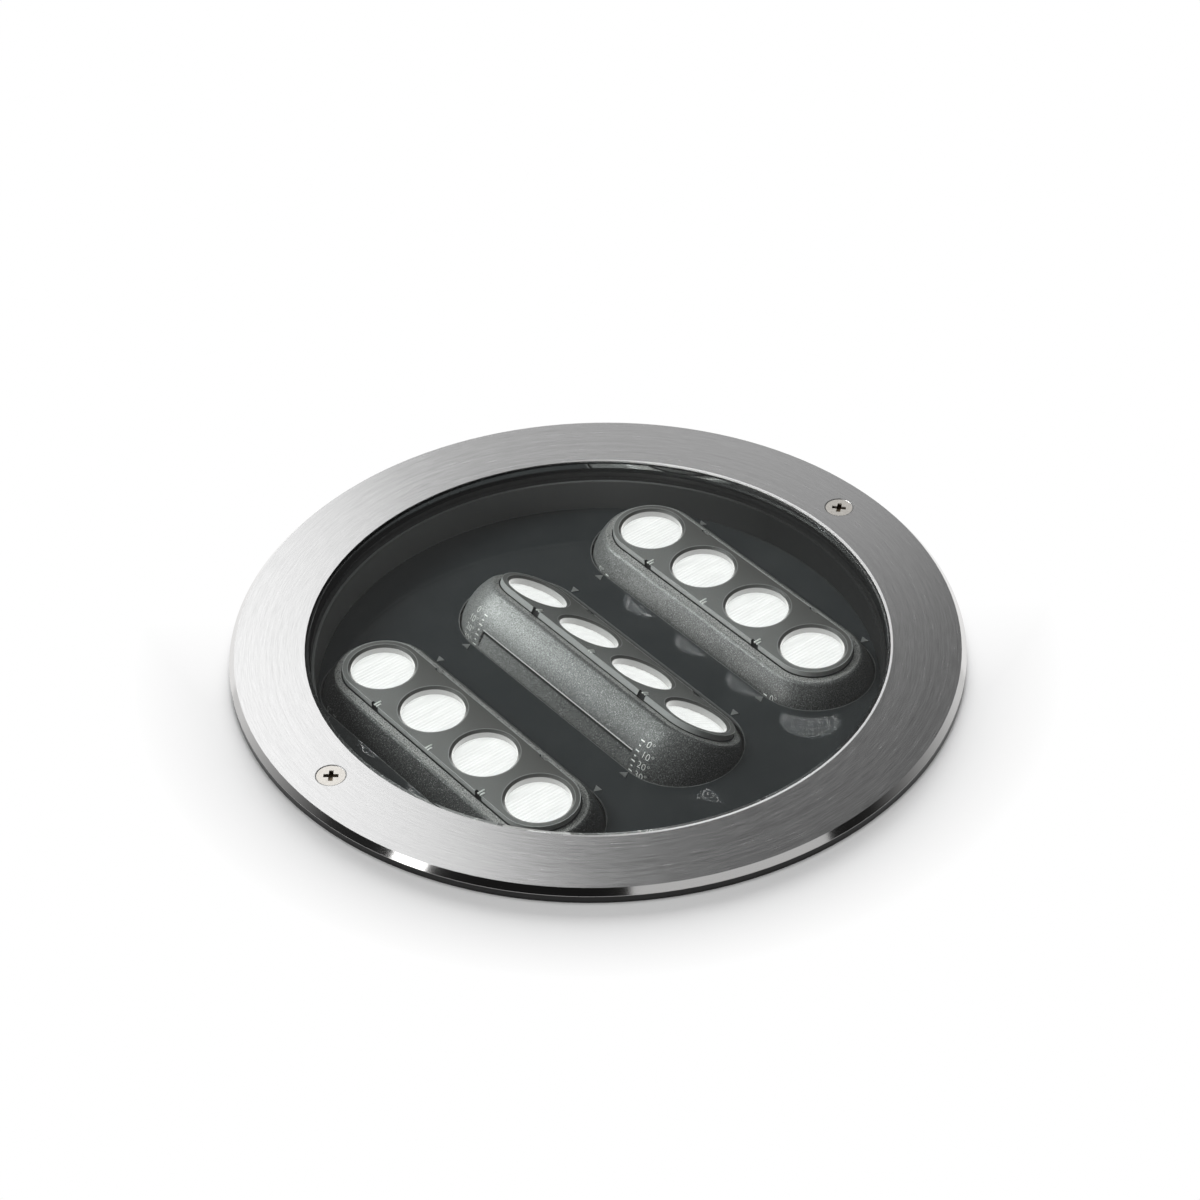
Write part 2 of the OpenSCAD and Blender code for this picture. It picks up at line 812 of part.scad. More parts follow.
module tray() {
    color("lightgray")
        difference() {
            translate([0, 0, tray_bottom])
                cylinder(h = tray_t, r = tray_r);
            bracket_screw_places()
                translate([0, 0, tray_bottom - over])
                    cylinder(h = tray_t + 2 * over, r = screw_r + fit);
            post_places()
                translate([0, 0, tray_bottom - over])
                    cylinder(h = tray_t + 2 * over, r = screw_r + loose);
            for (y = [-lens_pitch, lens_pitch])
                translate([0, y, tray_bottom - over])
                    cylinder(h = tray_t + 2 * over, r = lead_opening_r);
        }
}

module tray_posts() {
    color("darkgray")
        post_places()
            difference() {
                translate([0, 0, floor_top])
                    cylinder(h = tray_bottom - floor_top, r = post_d / 2);
                translate([0, 0, tray_bottom])
                    small_screw_hole(length = 2 * small_screw_l);
                translate([0, 0, floor_top - over])
                    cylinder(h = small_screw_l + over, r = screw_r + fit);
            }
}

module tray_screws() {
    color("gainsboro")
        post_places() {
            translate([0, 0, tray_top])
                small_screw(length = small_screw_l + tray_t);
            translate([0, 0, skirt_h])
                rotate([180, 0, 0])
                    small_screw(length = floor_t + small_screw_l - clear);
        }
}

// Driver, terminals and earth

module driver_case() {
    color("whitesmoke")
        difference() {
            union() {
                translate([-driver_l / 2, -driver_w / 2, floor_top])
                    cube([driver_l, driver_w, driver_h]);
                translate([-driver_l / 2 - driver_ear, -driver_w / 4, floor_top])
                    cube([driver_l + 2 * driver_ear, driver_w / 2, ear_t]);
            }
            translate([-driver_l / 2 + driver_wall, -driver_w / 2 + driver_wall, floor_top + driver_wall])
                cube([driver_l - 2 * driver_wall, driver_w - 2 * driver_wall, driver_h]);
            for (x = [-ear_x, ear_x])
                translate([x, 0, floor_top - over])
                    cylinder(h = ear_t + 2 * over, r = screw_r + loose);
        }
}

module driver_lid() {
    color("gainsboro") {
        translate([-driver_l / 2, -driver_w / 2, driver_top])
            cube([driver_l, driver_w, driver_lid_t]);
        difference() {
            translate([-driver_l / 2 + driver_wall + loose, -driver_w / 2 + driver_wall + loose,
                    driver_top - driver_lid_t])
                cube([driver_l - 2 * (driver_wall + loose), driver_w - 2 * (driver_wall + loose),
                    driver_lid_t]);
            translate([-driver_l / 2 + 2 * driver_wall, -driver_w / 2 + 2 * driver_wall,
                    driver_top - driver_lid_t - over])
                cube([driver_l - 4 * driver_wall, driver_w - 4 * driver_wall, driver_lid_t + over]);
        }
    }
}

module driver_screws() {
    color("gainsboro")
        for (x = [-ear_x, ear_x])
            translate([x, 0, floor_top + ear_t])
                small_screw(length = ear_t + floor_t / 2);
}

module terminal_places() {
    for (i = [0 : terminal_poles - 1])
        translate([(i - (terminal_poles - 1) / 2) * terminal_step, terminal_y, floor_top])
            children();
}

module terminal_block() {
    color("beige")
        difference() {
            translate([-terminal_l / 2, terminal_y - terminal_w / 2, floor_top])
                cube([terminal_l, terminal_w, terminal_h]);
            terminal_places() {
                translate([0, -terminal_w / 2 - over, terminal_wire_h])
                    rotate([-90, 0, 0])
                        cylinder(h = terminal_w + 2 * over, r = terminal_wire_r);
                translate([0, 0, terminal_h])
                    small_screw_hole(length = terminal_h - terminal_wire_h);
                translate([0, 0, terminal_h - screw_head_h])
                    cylinder(h = screw_head_h + over, r = screw_head_r + fit);
            }
        }
}

module terminal_screws() {
    color("goldenrod")
        terminal_places()
            translate([0, 0, terminal_h - screw_head_h])
                small_screw(length = terminal_h - terminal_wire_h - screw_head_h);
}

module earth_washer() {
    color("gold")
        translate([earth_x, terminal_y, 0])
            ring(screw_r + fit, screw_head_r * 1.3, floor_top, earth_washer_t);
}

module earth_screw() {
    color("green")
        translate([earth_x, terminal_y, floor_top + earth_washer_t])
            small_screw(length = earth_washer_t + floor_t / 2);
}

// Cable gland and vent

module gland_hex(z, h) {
    translate([0, 0, z])
        cylinder(h = h, r = gland_hex_r, $fn = 6);
}

module gland_body() {
    color("silver")
        translate([0, gland_y, 0])
            difference() {
                union() {
                    gland_hex(gland_hex_bottom, gland_hex_h);
                    translate([0, 0, gland_hex_top - over])
                        cylinder(h = floor_top + gland_nut_h + gland_washer_t + 2 * over - gland_hex_top,
                            r = gland_thread_r);
                    translate([0, 0, gland_hex_bottom - gland_cap_h * 0.35])
                        cylinder(h = gland_cap_h * 0.35 + over, r = gland_thread_r);
                }
                translate([0, 0, gland_cap_bottom])
                    cylinder(h = total_h / 2 - gland_cap_bottom, r = gland_bore_r);
                translate([0, 0, gland_hex_bottom - gland_seal_l])
                    cylinder(h = gland_seal_l + gland_hex_h / 2, r = gland_neck_r);
            }
}

module gland_washer() {
    color("black")
        translate([0, gland_y, 0])
            ring(gland_thread_r + fit, gland_flats / 2, skirt_h - gland_washer_t, gland_washer_t);
}

module gland_locknut() {
    color("silver")
        translate([0, gland_y, 0])
            difference() {
                gland_hex(floor_top, gland_nut_h);
                translate([0, 0, floor_top - over])
                    cylinder(h = gland_nut_h + 2 * over, r = gland_thread_r + fit);
            }
}

module gland_seal() {
    color("dimgray")
        translate([0, gland_y, 0])
            ring(cable_d / 2 + loose, gland_seal_r, gland_hex_bottom + gland_hex_h / 2 - gland_seal_l,
                gland_seal_l);
}

module gland_cap() {
    color("silver")
        translate([0, gland_y, 0])
            difference() {
                union() {
                    gland_hex(gland_cap_bottom + gland_cap_h * 0.3, gland_cap_h * 0.7 - fit);
                    translate([0, 0, gland_cap_bottom])
                        cylinder(h = gland_cap_h * 0.3, r1 = gland_hex_r * 0.65, r2 = gland_hex_r * 0.85);
                }
                translate([0, 0, gland_cap_bottom - over])
                    cylinder(h = gland_cap_h, r = gland_bore_r);
                translate([0, 0, gland_cap_bottom + gland_cap_roof])
                    cylinder(h = gland_cap_h, r = gland_thread_r + fit);
            }
}

module vent_plug() {
    color("#26282a")
        translate([vent_x, gland_y, 0])
            difference() {
                union() {
                    translate([0, 0, skirt_h - vent_head_h])
                        cylinder(h = vent_head_h, r = vent_head_d / 2);
                    translate([0, 0, skirt_h - over])
                        cylinder(h = floor_t + 3 * over, r = vent_shaft_r);
                }
                for (turn = [0, 60, 120])
                    rotate([0, 0, turn])
                        translate([-vent_head_d, -vent_slot_w / 2, skirt_h - vent_head_h - over])
                            cube([2 * vent_head_d, vent_slot_w, vent_head_h / 3 + over]);
            }
}

trim_ring();
trim_screws();
glass();
glass_seal();
seat_ring();
seat_screws();
flange_gasket();
mounting_flange();
housing();
skirt();
inner_wall();
mask_plate();
on_axis(left_x, left_tilt) bar_body();  // left_body
on_axis(left_x, left_tilt) bar_board();  // left_board
on_axis(left_x, left_tilt) bar_chips();  // left_chips
on_axis(left_x, left_tilt) bar_board_screws();  // left_board_screws
on_axis(left_x, left_tilt) bar_lenses();  // left_lenses
on_axis(left_x, left_tilt) bar_cover();  // left_cover
on_axis(left_x, left_tilt) bar_pins();  // left_pins
on_axis(left_x, left_tilt) bar_washers();  // left_washers
on_axis(middle_x, middle_tilt) bar_body();  // middle_body
on_axis(middle_x, middle_tilt) bar_board();  // middle_board
on_axis(middle_x, middle_tilt) bar_chips();  // middle_chips
on_axis(middle_x, middle_tilt) bar_board_screws();  // middle_board_screws
on_axis(middle_x, middle_tilt) bar_lenses();  // middle_lenses
on_axis(middle_x, middle_tilt) bar_cover();  // middle_cover
on_axis(middle_x, middle_tilt) bar_pins();  // middle_pins
on_axis(middle_x, middle_tilt) bar_washers();  // middle_washers
on_axis(right_x, right_tilt) bar_body();  // right_body
on_axis(right_x, right_tilt) bar_board();  // right_board
on_axis(right_x, right_tilt) bar_chips();  // right_chips
on_axis(right_x, right_tilt) bar_board_screws();  // right_board_screws
on_axis(right_x, right_tilt) bar_lenses();  // right_lenses
on_axis(right_x, right_tilt) bar_cover();  // right_cover
on_axis(right_x, right_tilt) bar_pins();  // right_pins
on_axis(right_x, right_tilt) bar_washers();  // right_washers
bracket_pair(left_x);  // left_brackets
bracket_pair(middle_x);  // middle_brackets
bracket_pair(right_x);  // right_brackets
bracket_screws();
tray();
tray_posts();
tray_screws();
driver_case();
driver_lid();
driver_screws();
terminal_block();
terminal_screws();
earth_screw();
earth_washer();
gland_body();
gland_washer();
gland_locknut();
gland_seal();
gland_cap();
vent_plug();
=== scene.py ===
"""A round recessed light set flush in the ground, with three tilting light bars under its glass."""

import json
import math

import bmesh
import bpy
from mathutils import Matrix, Vector


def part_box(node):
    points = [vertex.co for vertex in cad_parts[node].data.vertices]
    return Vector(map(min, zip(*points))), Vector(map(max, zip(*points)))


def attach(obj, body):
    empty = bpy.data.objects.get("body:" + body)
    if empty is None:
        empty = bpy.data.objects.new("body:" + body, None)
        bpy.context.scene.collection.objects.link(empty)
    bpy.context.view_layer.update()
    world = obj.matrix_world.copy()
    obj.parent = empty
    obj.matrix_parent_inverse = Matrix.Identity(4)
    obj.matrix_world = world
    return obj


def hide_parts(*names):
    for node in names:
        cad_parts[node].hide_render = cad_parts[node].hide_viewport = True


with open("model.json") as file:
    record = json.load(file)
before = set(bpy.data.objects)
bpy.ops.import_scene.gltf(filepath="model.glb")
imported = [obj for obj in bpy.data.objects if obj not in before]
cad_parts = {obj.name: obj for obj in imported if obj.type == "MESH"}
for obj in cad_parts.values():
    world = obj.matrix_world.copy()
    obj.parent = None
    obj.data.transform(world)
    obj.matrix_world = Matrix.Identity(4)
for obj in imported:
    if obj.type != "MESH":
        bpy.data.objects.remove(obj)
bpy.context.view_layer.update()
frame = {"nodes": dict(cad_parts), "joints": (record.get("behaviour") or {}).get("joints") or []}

MM = 0.001
SIDES = ("left", "middle", "right")


# Places taken from the frame: a radius ends in _R, and the left bar lies level at rest

ring_low, ring_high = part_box("trim_ring")
cover_low, cover_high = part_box("left_cover")
lens_low, lens_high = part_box("left_lenses")
body_low, body_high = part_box("left_body")
screw_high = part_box("trim_screws")[1]
RING_TOP = ring_high.z
GROUND_Z = ring_low.z
RING_R = ring_high.x
RING_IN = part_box("glass")[1].x + 0.5 * MM
PLATE_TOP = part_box("mask_plate")[1].z
FLANGE_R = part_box("mounting_flange")[1].x
SCREW_CIRCLE_R = screw_high.x - screw_high.y
SCREW_TOP = screw_high.z
BAR_R = (body_high.x - body_low.x) / 2
COVER_R = (cover_high.x - cover_low.x) / 2
LENS_R = (lens_high.x - lens_low.x) / 2
END_Y = lens_high.y - LENS_R
LENS_PITCH = END_Y / 1.5

bars = {}
for joint in frame["joints"]:
    lowest, highest = joint["range_deg"]
    rest_tilt = -math.radians(lowest + highest) / 2
    bars[joint["child"].replace("_bar", "")] = {
        "body": joint["child"],
        "axis": Vector(joint["pos_m"]),
        "turn": rest_tilt,
        "place": Matrix.Translation(Vector(joint["pos_m"])) @ Matrix.Rotation(rest_tilt, 4, "Y"),
    }


# Heights above a bar's tilt axis

AXIS_Z = bars["left"]["axis"].z
LENS_TOP = lens_high.z - AXIS_Z
LENS_FOOT = lens_low.z - AXIS_Z
RIM_TOP = body_high.z - AXIS_Z
COVER_TOP = cover_high.z - AXIS_Z
PANEL_TOP = 0.8 * MM


# Sizes that the frame's boxes don't show

SCREW_MOUTH_R = 5.7 * MM
POCKET_R = COVER_R + 0.5 * MM
SLOT_R = 24.28 * MM
HOLE_R = 12.2 * MM
HOLE_CHAMFER = 0.9 * MM


# Camera, as the photograph was taken: angles in degrees, distances in metres, and pixels of
# the 1200 frame

PHOTO_SIZE = 1200
CAMERA_AZIMUTH = -38.05
CAMERA_ELEVATION = 38.8875
CAMERA_ROLL = -1.3513
CAMERA_DISTANCE = 1.19917
FOCAL_PIXELS = 3174.396
RING_PIXEL_X = 597.395
RING_PIXEL_Y = 634.597
SENSOR = 36


def make_camera():
    """Aims the camera at the middle of the ring's top, and returns two of its directions."""
    turn = math.radians(CAMERA_AZIMUTH)
    rise = math.radians(CAMERA_ELEVATION)
    roll = math.radians(CAMERA_ROLL)
    back = Vector((
        math.sin(turn) * math.cos(rise), -math.cos(turn) * math.cos(rise), math.sin(rise)))
    level_right = Vector((math.cos(turn), math.sin(turn), 0))
    level_up = back.cross(level_right)
    right = math.cos(roll) * level_right + math.sin(roll) * level_up
    up = math.cos(roll) * level_up - math.sin(roll) * level_right
    metres_a_pixel = CAMERA_DISTANCE / FOCAL_PIXELS
    aside = (RING_PIXEL_X - PHOTO_SIZE / 2) * metres_a_pixel
    above = (PHOTO_SIZE / 2 - RING_PIXEL_Y) * metres_a_pixel
    place = Vector((0, 0, RING_TOP)) + back * CAMERA_DISTANCE - right * aside - up * above
    data = bpy.data.cameras.new("camera")
    data.sensor_width = SENSOR
    data.sensor_fit = "HORIZONTAL"
    data.lens = FOCAL_PIXELS / PHOTO_SIZE * SENSOR
    camera = bpy.data.objects.new("camera", data)
    bpy.context.scene.collection.objects.link(camera)
    turned = Matrix((right, up, back)).transposed().to_4x4()
    camera.matrix_world = Matrix.Translation(place) @ turned
    bpy.context.scene.camera = camera
    return back, level_right


TO_CAMERA, CAMERA_RIGHT = make_camera()
GROUND_TO_CAMERA = Vector((TO_CAMERA.x, TO_CAMERA.y, 0)).normalized()


# Materials: sums on values add Math nodes

NOISE_LOW = 0.3
NOISE_HIGH = 0.7


class Value:
    """A number that varies over a surface: one output socket of one material."""

    def __init__(self, finish, socket):
        self.finish = finish
        self.socket = socket

    def math(self, operation, other=0.0, swapped=False):
        pair = (other, self) if swapped else (self, other)
        made = self.finish.node(
            "ShaderNodeMath", {"operation": operation}, {0: pair[0], 1: pair[1]})
        return Value(self.finish, made.outputs[0])

    def __add__(self, other):
        return self.math("ADD", other)

    __radd__ = __add__

    def __mul__(self, other):
        return self.math("MULTIPLY", other)

    __rmul__ = __mul__

    def __sub__(self, other):
        return self.math("SUBTRACT", other)

    def __rsub__(self, other):
        return self.math("SUBTRACT", other, swapped=True)

    def __truediv__(self, other):
        return self.math("DIVIDE", other)

    def __pow__(self, other):
        return self.math("POWER", other)

    def __abs__(self):
        return self.math("ABSOLUTE")

    def larger(self, other):
        return self.math("MAXIMUM", other)

    def distance(self, other):
        return (self * self + other * other) ** 0.5

    def clamped(self, low, high):
        made = self.finish.node("ShaderNodeClamp", {}, {"Value": self, "Min": low, "Max": high})
        return Value(self.finish, made.outputs[0])

    def spread(self, low, high, to_low=0.0, to_high=1.0):
        """Runs from one number to another while the value goes from low to high."""
        made = self.finish.node("ShaderNodeMapRange", {"clamp": True}, {
            "Value": self, "From Min": low, "From Max": high, "To Min": to_low, "To Max": to_high})
        return Value(self.finish, made.outputs[0])

    def fade(self, low, high):
        """1 up to low and 0 from high on."""
        return self.spread(low, high, 1.0, 0.0)

    def full(self, to_low=0.0, to_high=1.0):
        """Noise, which keeps near its middle, stretched over a whole range."""
        return self.spread(NOISE_LOW, NOISE_HIGH, to_low, to_high)

    def wave(self, pitch, low):
        """Rises and falls along the value, from 0 to 1, and stays 0 where its sine is under low."""
        return (self * (2 * math.pi / pitch)).math("SINE").spread(low, 1.0)

    def between(self, low, high, edge):
        """1 from low to high and 0 outside, with soft edges."""
        return self.spread(low - edge, low) * self.fade(high, high + edge)

    def off_nearest_lens(self):
        """How far this place along a bar is from the nearest lens's middle."""
        steps = self / LENS_PITCH - 0.5
        return (steps - steps.math("ROUND")) * LENS_PITCH

    def off_lens_line(self, along):
        """How far a place, this far across a bar, is from the line between its end lenses."""
        past_end = (abs(along) - END_Y).clamped(0.0, 1.0)
        return self.distance(past_end)


class Finish:
    """One material, built node by node."""

    def __init__(self, name, tree=None):
        if tree is None:
            self.material = bpy.data.materials.new(name)
            self.material.use_nodes = True
            tree = self.material.node_tree
        self.tree = tree
        self.tree.nodes.clear()

    def node(self, kind, settings, sockets):
        """Adds a node, sets its settings, and then sets or links its inputs."""
        made = self.tree.nodes.new(kind)
        for name, setting in settings.items():
            setattr(made, name, setting)
        for key, given in sockets.items():
            socket = made.inputs[key]
            if isinstance(given, Value):
                self.tree.links.new(given.socket, socket)
            elif isinstance(given, bpy.types.NodeSocket):
                self.tree.links.new(given, socket)
            else:
                socket.default_value = given
        return made

    def place(self, kind="Object"):
        """The three coordinates of the surface, in metres."""
        coordinates = self.node("ShaderNodeTexCoord", {}, {})
        parts = self.node("ShaderNodeSeparateXYZ", {}, {0: coordinates.outputs[kind]})
        return [Value(self, out) for out in parts.outputs]

    def bar_place(self, side):
        """Coordinates in a bar's own frame at rest: across it, along it and above its axis."""
        x, y, z = self.place()
        axis = bars[side]["axis"]
        turn = bars[side]["turn"]
        out = x - axis.x
        up = z - axis.z
        across = out * math.cos(turn) - up * math.sin(turn)
        above = out * math.sin(turn) + up * math.cos(turn)
        return across, y, above

    def ray(self, *kinds):
        """1 for a ray of one of these kinds, and 0 for any other."""
        paths = self.node("ShaderNodeLightPath", {}, {})
        found, *others = [Value(self, paths.outputs[kind]) for kind in kinds]
        for other in others:
            found = found.larger(other)
        return found

    def vector(self, x, y, z):
        return self.node("ShaderNodeCombineXYZ", {}, {0: x, 1: y, 2: z}).outputs[0]

    def noise(self, scale, detail=2.0, at=None, stretch=(1.0, 1.0, 1.0), roughness=0.5):
        """Noise from 0 to 1 with about `scale` grains a metre, stretched along an axis if asked."""
        if at is None:
            x, y, z = self.place()
            at = self.vector(x * stretch[0], y * stretch[1], z * stretch[2])
        made = self.node("ShaderNodeTexNoise", {}, {
            "Vector": at, "Scale": scale, "Detail": detail, "Roughness": roughness})
        return Value(self, made.outputs[0])

    def blend(self, share, first, second):
        """A colour between two colours."""
        made = self.node("ShaderNodeMix", {"data_type": "RGBA"}, {0: share, 6: first, 7: second})
        return made.outputs[2]

    def bump(self, height, strength, depth):
        return self.node("ShaderNodeBump", {}, {
            "Strength": strength, "Distance": depth, "Height": height}).outputs[0]

    def surface(self, **sockets):
        """A Principled shader, with its sockets in plain words."""
        named = {}
        for words, given in sockets.items():
            named[words.replace("_", " ").title().replace("Ior", "IOR")] = given
        return self.node("ShaderNodeBsdfPrincipled", {}, named)

    def glow(self, colour, strength):
        return self.node("ShaderNodeEmission", {}, {"Color": colour, "Strength": strength})

    def mix(self, share, first, second):
        """A shader between two shaders."""
        return self.node("ShaderNodeMixShader", {}, {
            0: share, 1: first.outputs[0], 2: second.outputs[0]})

    def output(self, shader):
        self.node("ShaderNodeOutputMaterial", {}, {"Surface": shader.outputs[0]})
        return self.material


def tone(level, warm=0.0):
    """A grey from 0, black, to 1, white, a little warmer when asked."""
    return (level * (1 + warm), level, level * (1 - warm), 1.0)


def dress(material, *names):
    """Gives CAD nodes a material."""
    for name in names:
        data = frame["nodes"][name].data
        data.materials.clear()
        data.materials.append(material)


# Trim ring, its screws and the glass

CHAMFER_IN = RING_R - 2.1 * MM
RING_SIDE_TOP = RING_TOP - 2.5 * MM
INNER_EDGE_R = RING_IN + 0.7 * MM
INNER_EDGE_FOOT = RING_TOP - 0.8 * MM
RING_SOFT = 0.2 * MM
FINE_OUTWARD = 2500
FINE_ROUND = 14
BROAD_OUTWARD = 800
BROAD_ROUND = 1.5
FINE_SHARE = 0.6
INNER_HIGHLIGHT_METAL = 0.2
CHAMFER_ROUGHNESS = 0.09
EDGE_ROUGHNESS = 0.45
RING_DARK = tone(0.5)
RING_LIGHT = tone(0.68)
CHAMFER_TONE = tone(0.72, 0.01)
INNER_EDGE_HIGHLIGHT_TONE = tone(0.95)
MOUTH_REFLECTION_TONE = tone(0.3)
RING_SIDE_SHADE_TONE = tone(0.05)


def brushed_ring():
    """Circular brushed steel: a polished chamfer over a side painted near black as shade, a pale
    inner edge painted as a highlight on the half towards the camera's right, and a ring round each
    screw painted as its countersink's reflection.
    """
    finish = Finish("brushed_ring_steel")
    x, y, z = finish.place()
    radius = x.distance(y)
    angle = y.math("ARCTAN2", x)
    fine = finish.noise(1.0, at=finish.vector(radius * FINE_OUTWARD, angle * FINE_ROUND, 0.0))
    broad = finish.noise(1.0, at=finish.vector(radius * BROAD_OUTWARD, angle * BROAD_ROUND, 0.0))
    streaks = (fine * FINE_SHARE + broad * (1 - FINE_SHARE)).full()
    chamfer = radius.spread(CHAMFER_IN, CHAMFER_IN + RING_SOFT)
    # Only the half of the inner edge towards the camera's right is painted pale, as a painted
    # highlight of its bevel.
    highlit_rightward = ((x * CAMERA_RIGHT.x + y * CAMERA_RIGHT.y) / RING_R).spread(-0.15, 0.2)
    edge_top = z.spread(INNER_EDGE_FOOT, INNER_EDGE_FOOT + RING_SOFT)
    inner = radius.fade(INNER_EDGE_R, INNER_EDGE_R + RING_SOFT) * edge_top * highlit_rightward
    off_screw = (abs(x) - SCREW_CIRCLE_R).distance(y)
    # A ring round each screw's countersink is painted in a darker metal tone, as a painted
    # reflection of its bevel.
    mouth_reflection = off_screw.between(0.0, SCREW_MOUTH_R, 0.15 * MM)
    edges = inner.larger(mouth_reflection)
    polished = chamfer.larger(edges)
    # The ring's outer side is painted near black, as painted shade from the shadowed ground beside
    # it.
    side = z.fade(RING_SIDE_TOP, RING_SIDE_TOP + 0.3 * MM) * chamfer
    brushed = finish.blend(streaks, RING_DARK, RING_LIGHT)
    chamfer_and_edge_highlight = finish.blend(inner, CHAMFER_TONE, INNER_EDGE_HIGHLIGHT_TONE)
    bright = finish.blend(polished, brushed, finish.blend(mouth_reflection, chamfer_and_edge_highlight, MOUTH_REFLECTION_TONE))
    brushed_roughness = streaks.spread(0.0, 1.0, 0.21, 0.28) * (1 - polished)
    return finish.output(finish.surface(
        base_color=finish.blend(side, bright, RING_SIDE_SHADE_TONE),
        metallic=1 - (1 - INNER_HIGHLIGHT_METAL) * inner,
        roughness=brushed_roughness + chamfer * CHAMFER_ROUGHNESS + edges * EDGE_ROUGHNESS,
        normal=finish.bump(fine * (1 - polished), 0.06, 0.02 * MM)))


METAL_GRAIN = 900
SCREW_DARK = (0.42, 0.4, 0.37, 1)
SCREW_LIGHT = (0.5, 0.48, 0.45, 1)
SCREW_RECESS = (0.07, 0.05, 0.03, 1)
RECESS_TOP = SCREW_TOP - 0.8 * MM
RECESS_R = 3.6 * MM


def screw_finish():
    """Warm bright steel, with a brown recess."""
    finish = Finish("screw_steel")
    x, y, z = finish.place()
    grain = finish.noise(METAL_GRAIN, 3.0)
    deep = z.fade(RECESS_TOP, RECESS_TOP + 0.5 * MM)
    middle = (abs(x) - SCREW_CIRCLE_R).distance(y).fade(RECESS_R, RECESS_R + 0.2 * MM)
    head = finish.blend(grain.full(), SCREW_DARK, SCREW_LIGHT)
    return finish.output(finish.surface(
        base_color=finish.blend(deep * middle, head, SCREW_RECESS),
        metallic=0.5, roughness=grain.full(0.22, 0.3)))


GLASS_TINT = (0.96, 0.985, 0.975, 1.0)
LAMP_LIGHT_TINT = (0.93, 0.95, 0.94, 1.0)
GLASS_IOR = 1.5


def clear_glass():
    """Thick clear glass that lets the lamps' light straight through."""
    finish = Finish("clear_glass")
    shader = finish.surface(
        base_color=GLASS_TINT, roughness=0.0, ior=GLASS_IOR, transmission_weight=1.0)
    open_air = finish.node("ShaderNodeBsdfTransparent", {}, {"Color": LAMP_LIGHT_TINT})
    passing = finish.ray("Is Shadow Ray", "Is Diffuse Ray")
    return finish.output(finish.mix(passing, shader, open_air))


# Bars, covers, lenses, plate and wall

# Painted light: each bar's paint level at its near and far end, set per bar as the light falls on
# it.
BAR_PAINTED_LIGHT_LEVELS = {"left": (0.11, 0.1), "middle": (0.18, 0.48), "right": (0.23, 0.36)}
BAR_GRAIN = 0.42 * MM
GRAIN_DARK = 0.35
FLECK = 0.4 * MM
FLECK_SHARE = 0.35
FLECK_TONE = tone(0.75)
RIM_WEAR_AND_SHEEN = 0.8
RIM_DARK = tone(0.12)
RIM_LIGHT = tone(0.75, 0.02)
PANEL_SHADE_TONE = tone(0.03)
LIP_HIGHLIGHT_TONE = tone(0.8)
POCKET_SHADE_TONE = tone(0.006)


def bar_paint(side):
    """Sandy metallic paint with painted light: lighter towards the far end, a rim pale with wear
    and painted sheen, a painted highlight on the lip with painted shade on the panel below it, and
    painted shade in the pocket round the cover.
    """
    finish = Finish(side + "_bar_paint")
    across, along, above = finish.bar_place(side)
    grain = finish.noise(1 / BAR_GRAIN, 1.0, roughness=0.6)
    share = grain.spread(0.34, 0.66)
    # The paint is painted lighter towards the bar's far end, as painted light.
    far = along.spread(-END_Y, END_Y) ** 2
    near_lit_level, far_lit_level = BAR_PAINTED_LIGHT_LEVELS[side]
    dark = finish.blend(far, tone(near_lit_level * GRAIN_DARK), tone(far_lit_level * GRAIN_DARK))
    light = finish.blend(far, tone(near_lit_level), tone(far_lit_level))
    paint = finish.blend(share, dark, light)
    flecks = finish.noise(1 / FLECK, 0.0).spread(0.62, 0.72)
    flecked = finish.blend(flecks * FLECK_SHARE, paint, FLECK_TONE)
    # The rim's flat is painted pale, partly as wear and partly as a painted sheen.
    on_rim = above.spread(RIM_TOP - 0.2 * MM, RIM_TOP - 0.08 * MM)
    worn_and_sheened = finish.blend(on_rim * RIM_WEAR_AND_SHEEN, flecked, finish.blend(share, RIM_DARK, RIM_LIGHT))
    # A painted highlight along the lip above the panel.
    lip_highlight = above.between(PANEL_TOP - 0.1 * MM, PANEL_TOP + 0.4 * MM, 0.1 * MM)
    # Painted shade on the recessed panel just below its lip.
    panel_shade = above.between(PANEL_TOP - 1.1 * MM, PANEL_TOP - 0.1 * MM, 0.6 * MM)
    beside_panel = abs(along).fade(END_Y - 2.6 * MM, END_Y - 2.5 * MM)
    panel_shaded = finish.blend(panel_shade * beside_panel, worn_and_sheened, PANEL_SHADE_TONE)
    lip_highlighted = finish.blend(lip_highlight * beside_panel, panel_shaded, LIP_HIGHLIGHT_TONE)
    # The pocket round the cover is painted near black, as painted shade in the gap between cover
    # and rim.
    pocket_shade = across.off_lens_line(along).fade(POCKET_R + 0.02 * MM, POCKET_R + 0.07 * MM)
    return finish.output(finish.surface(
        base_color=finish.blend(pocket_shade, lip_highlighted, POCKET_SHADE_TONE),
        metallic=0.5, roughness=share.spread(0.0, 1.0, 0.34, 0.46),
        normal=finish.bump(grain, 0.15, 0.03 * MM)))


SMOOTH_GRAIN = 0.6 * MM
COVER_LIT_SIDE_TONE = tone(0.19, 0.01)
COVER_SHADED_SIDE_TONE = tone(0.085, 0.04)
COVER_GAP_SHADE_TONE = tone(0.01)
COVER_SIDE_LIT_TONE = tone(0.4)
COVER_EDGE_HIGHLIGHT_TONE = tone(0.42)
HOLE_RING_TONE = tone(0.05, 0.03)
HOLE_LINE_TONE = tone(0.4)
HOLE_WALL_TONE = tone(0.15)
HOLE_EDGE_R = HOLE_R + HOLE_CHAMFER
HOLE_LINE_SHARE = 0.6
CLIP_RECESS_LENGTH = 2.02 * MM


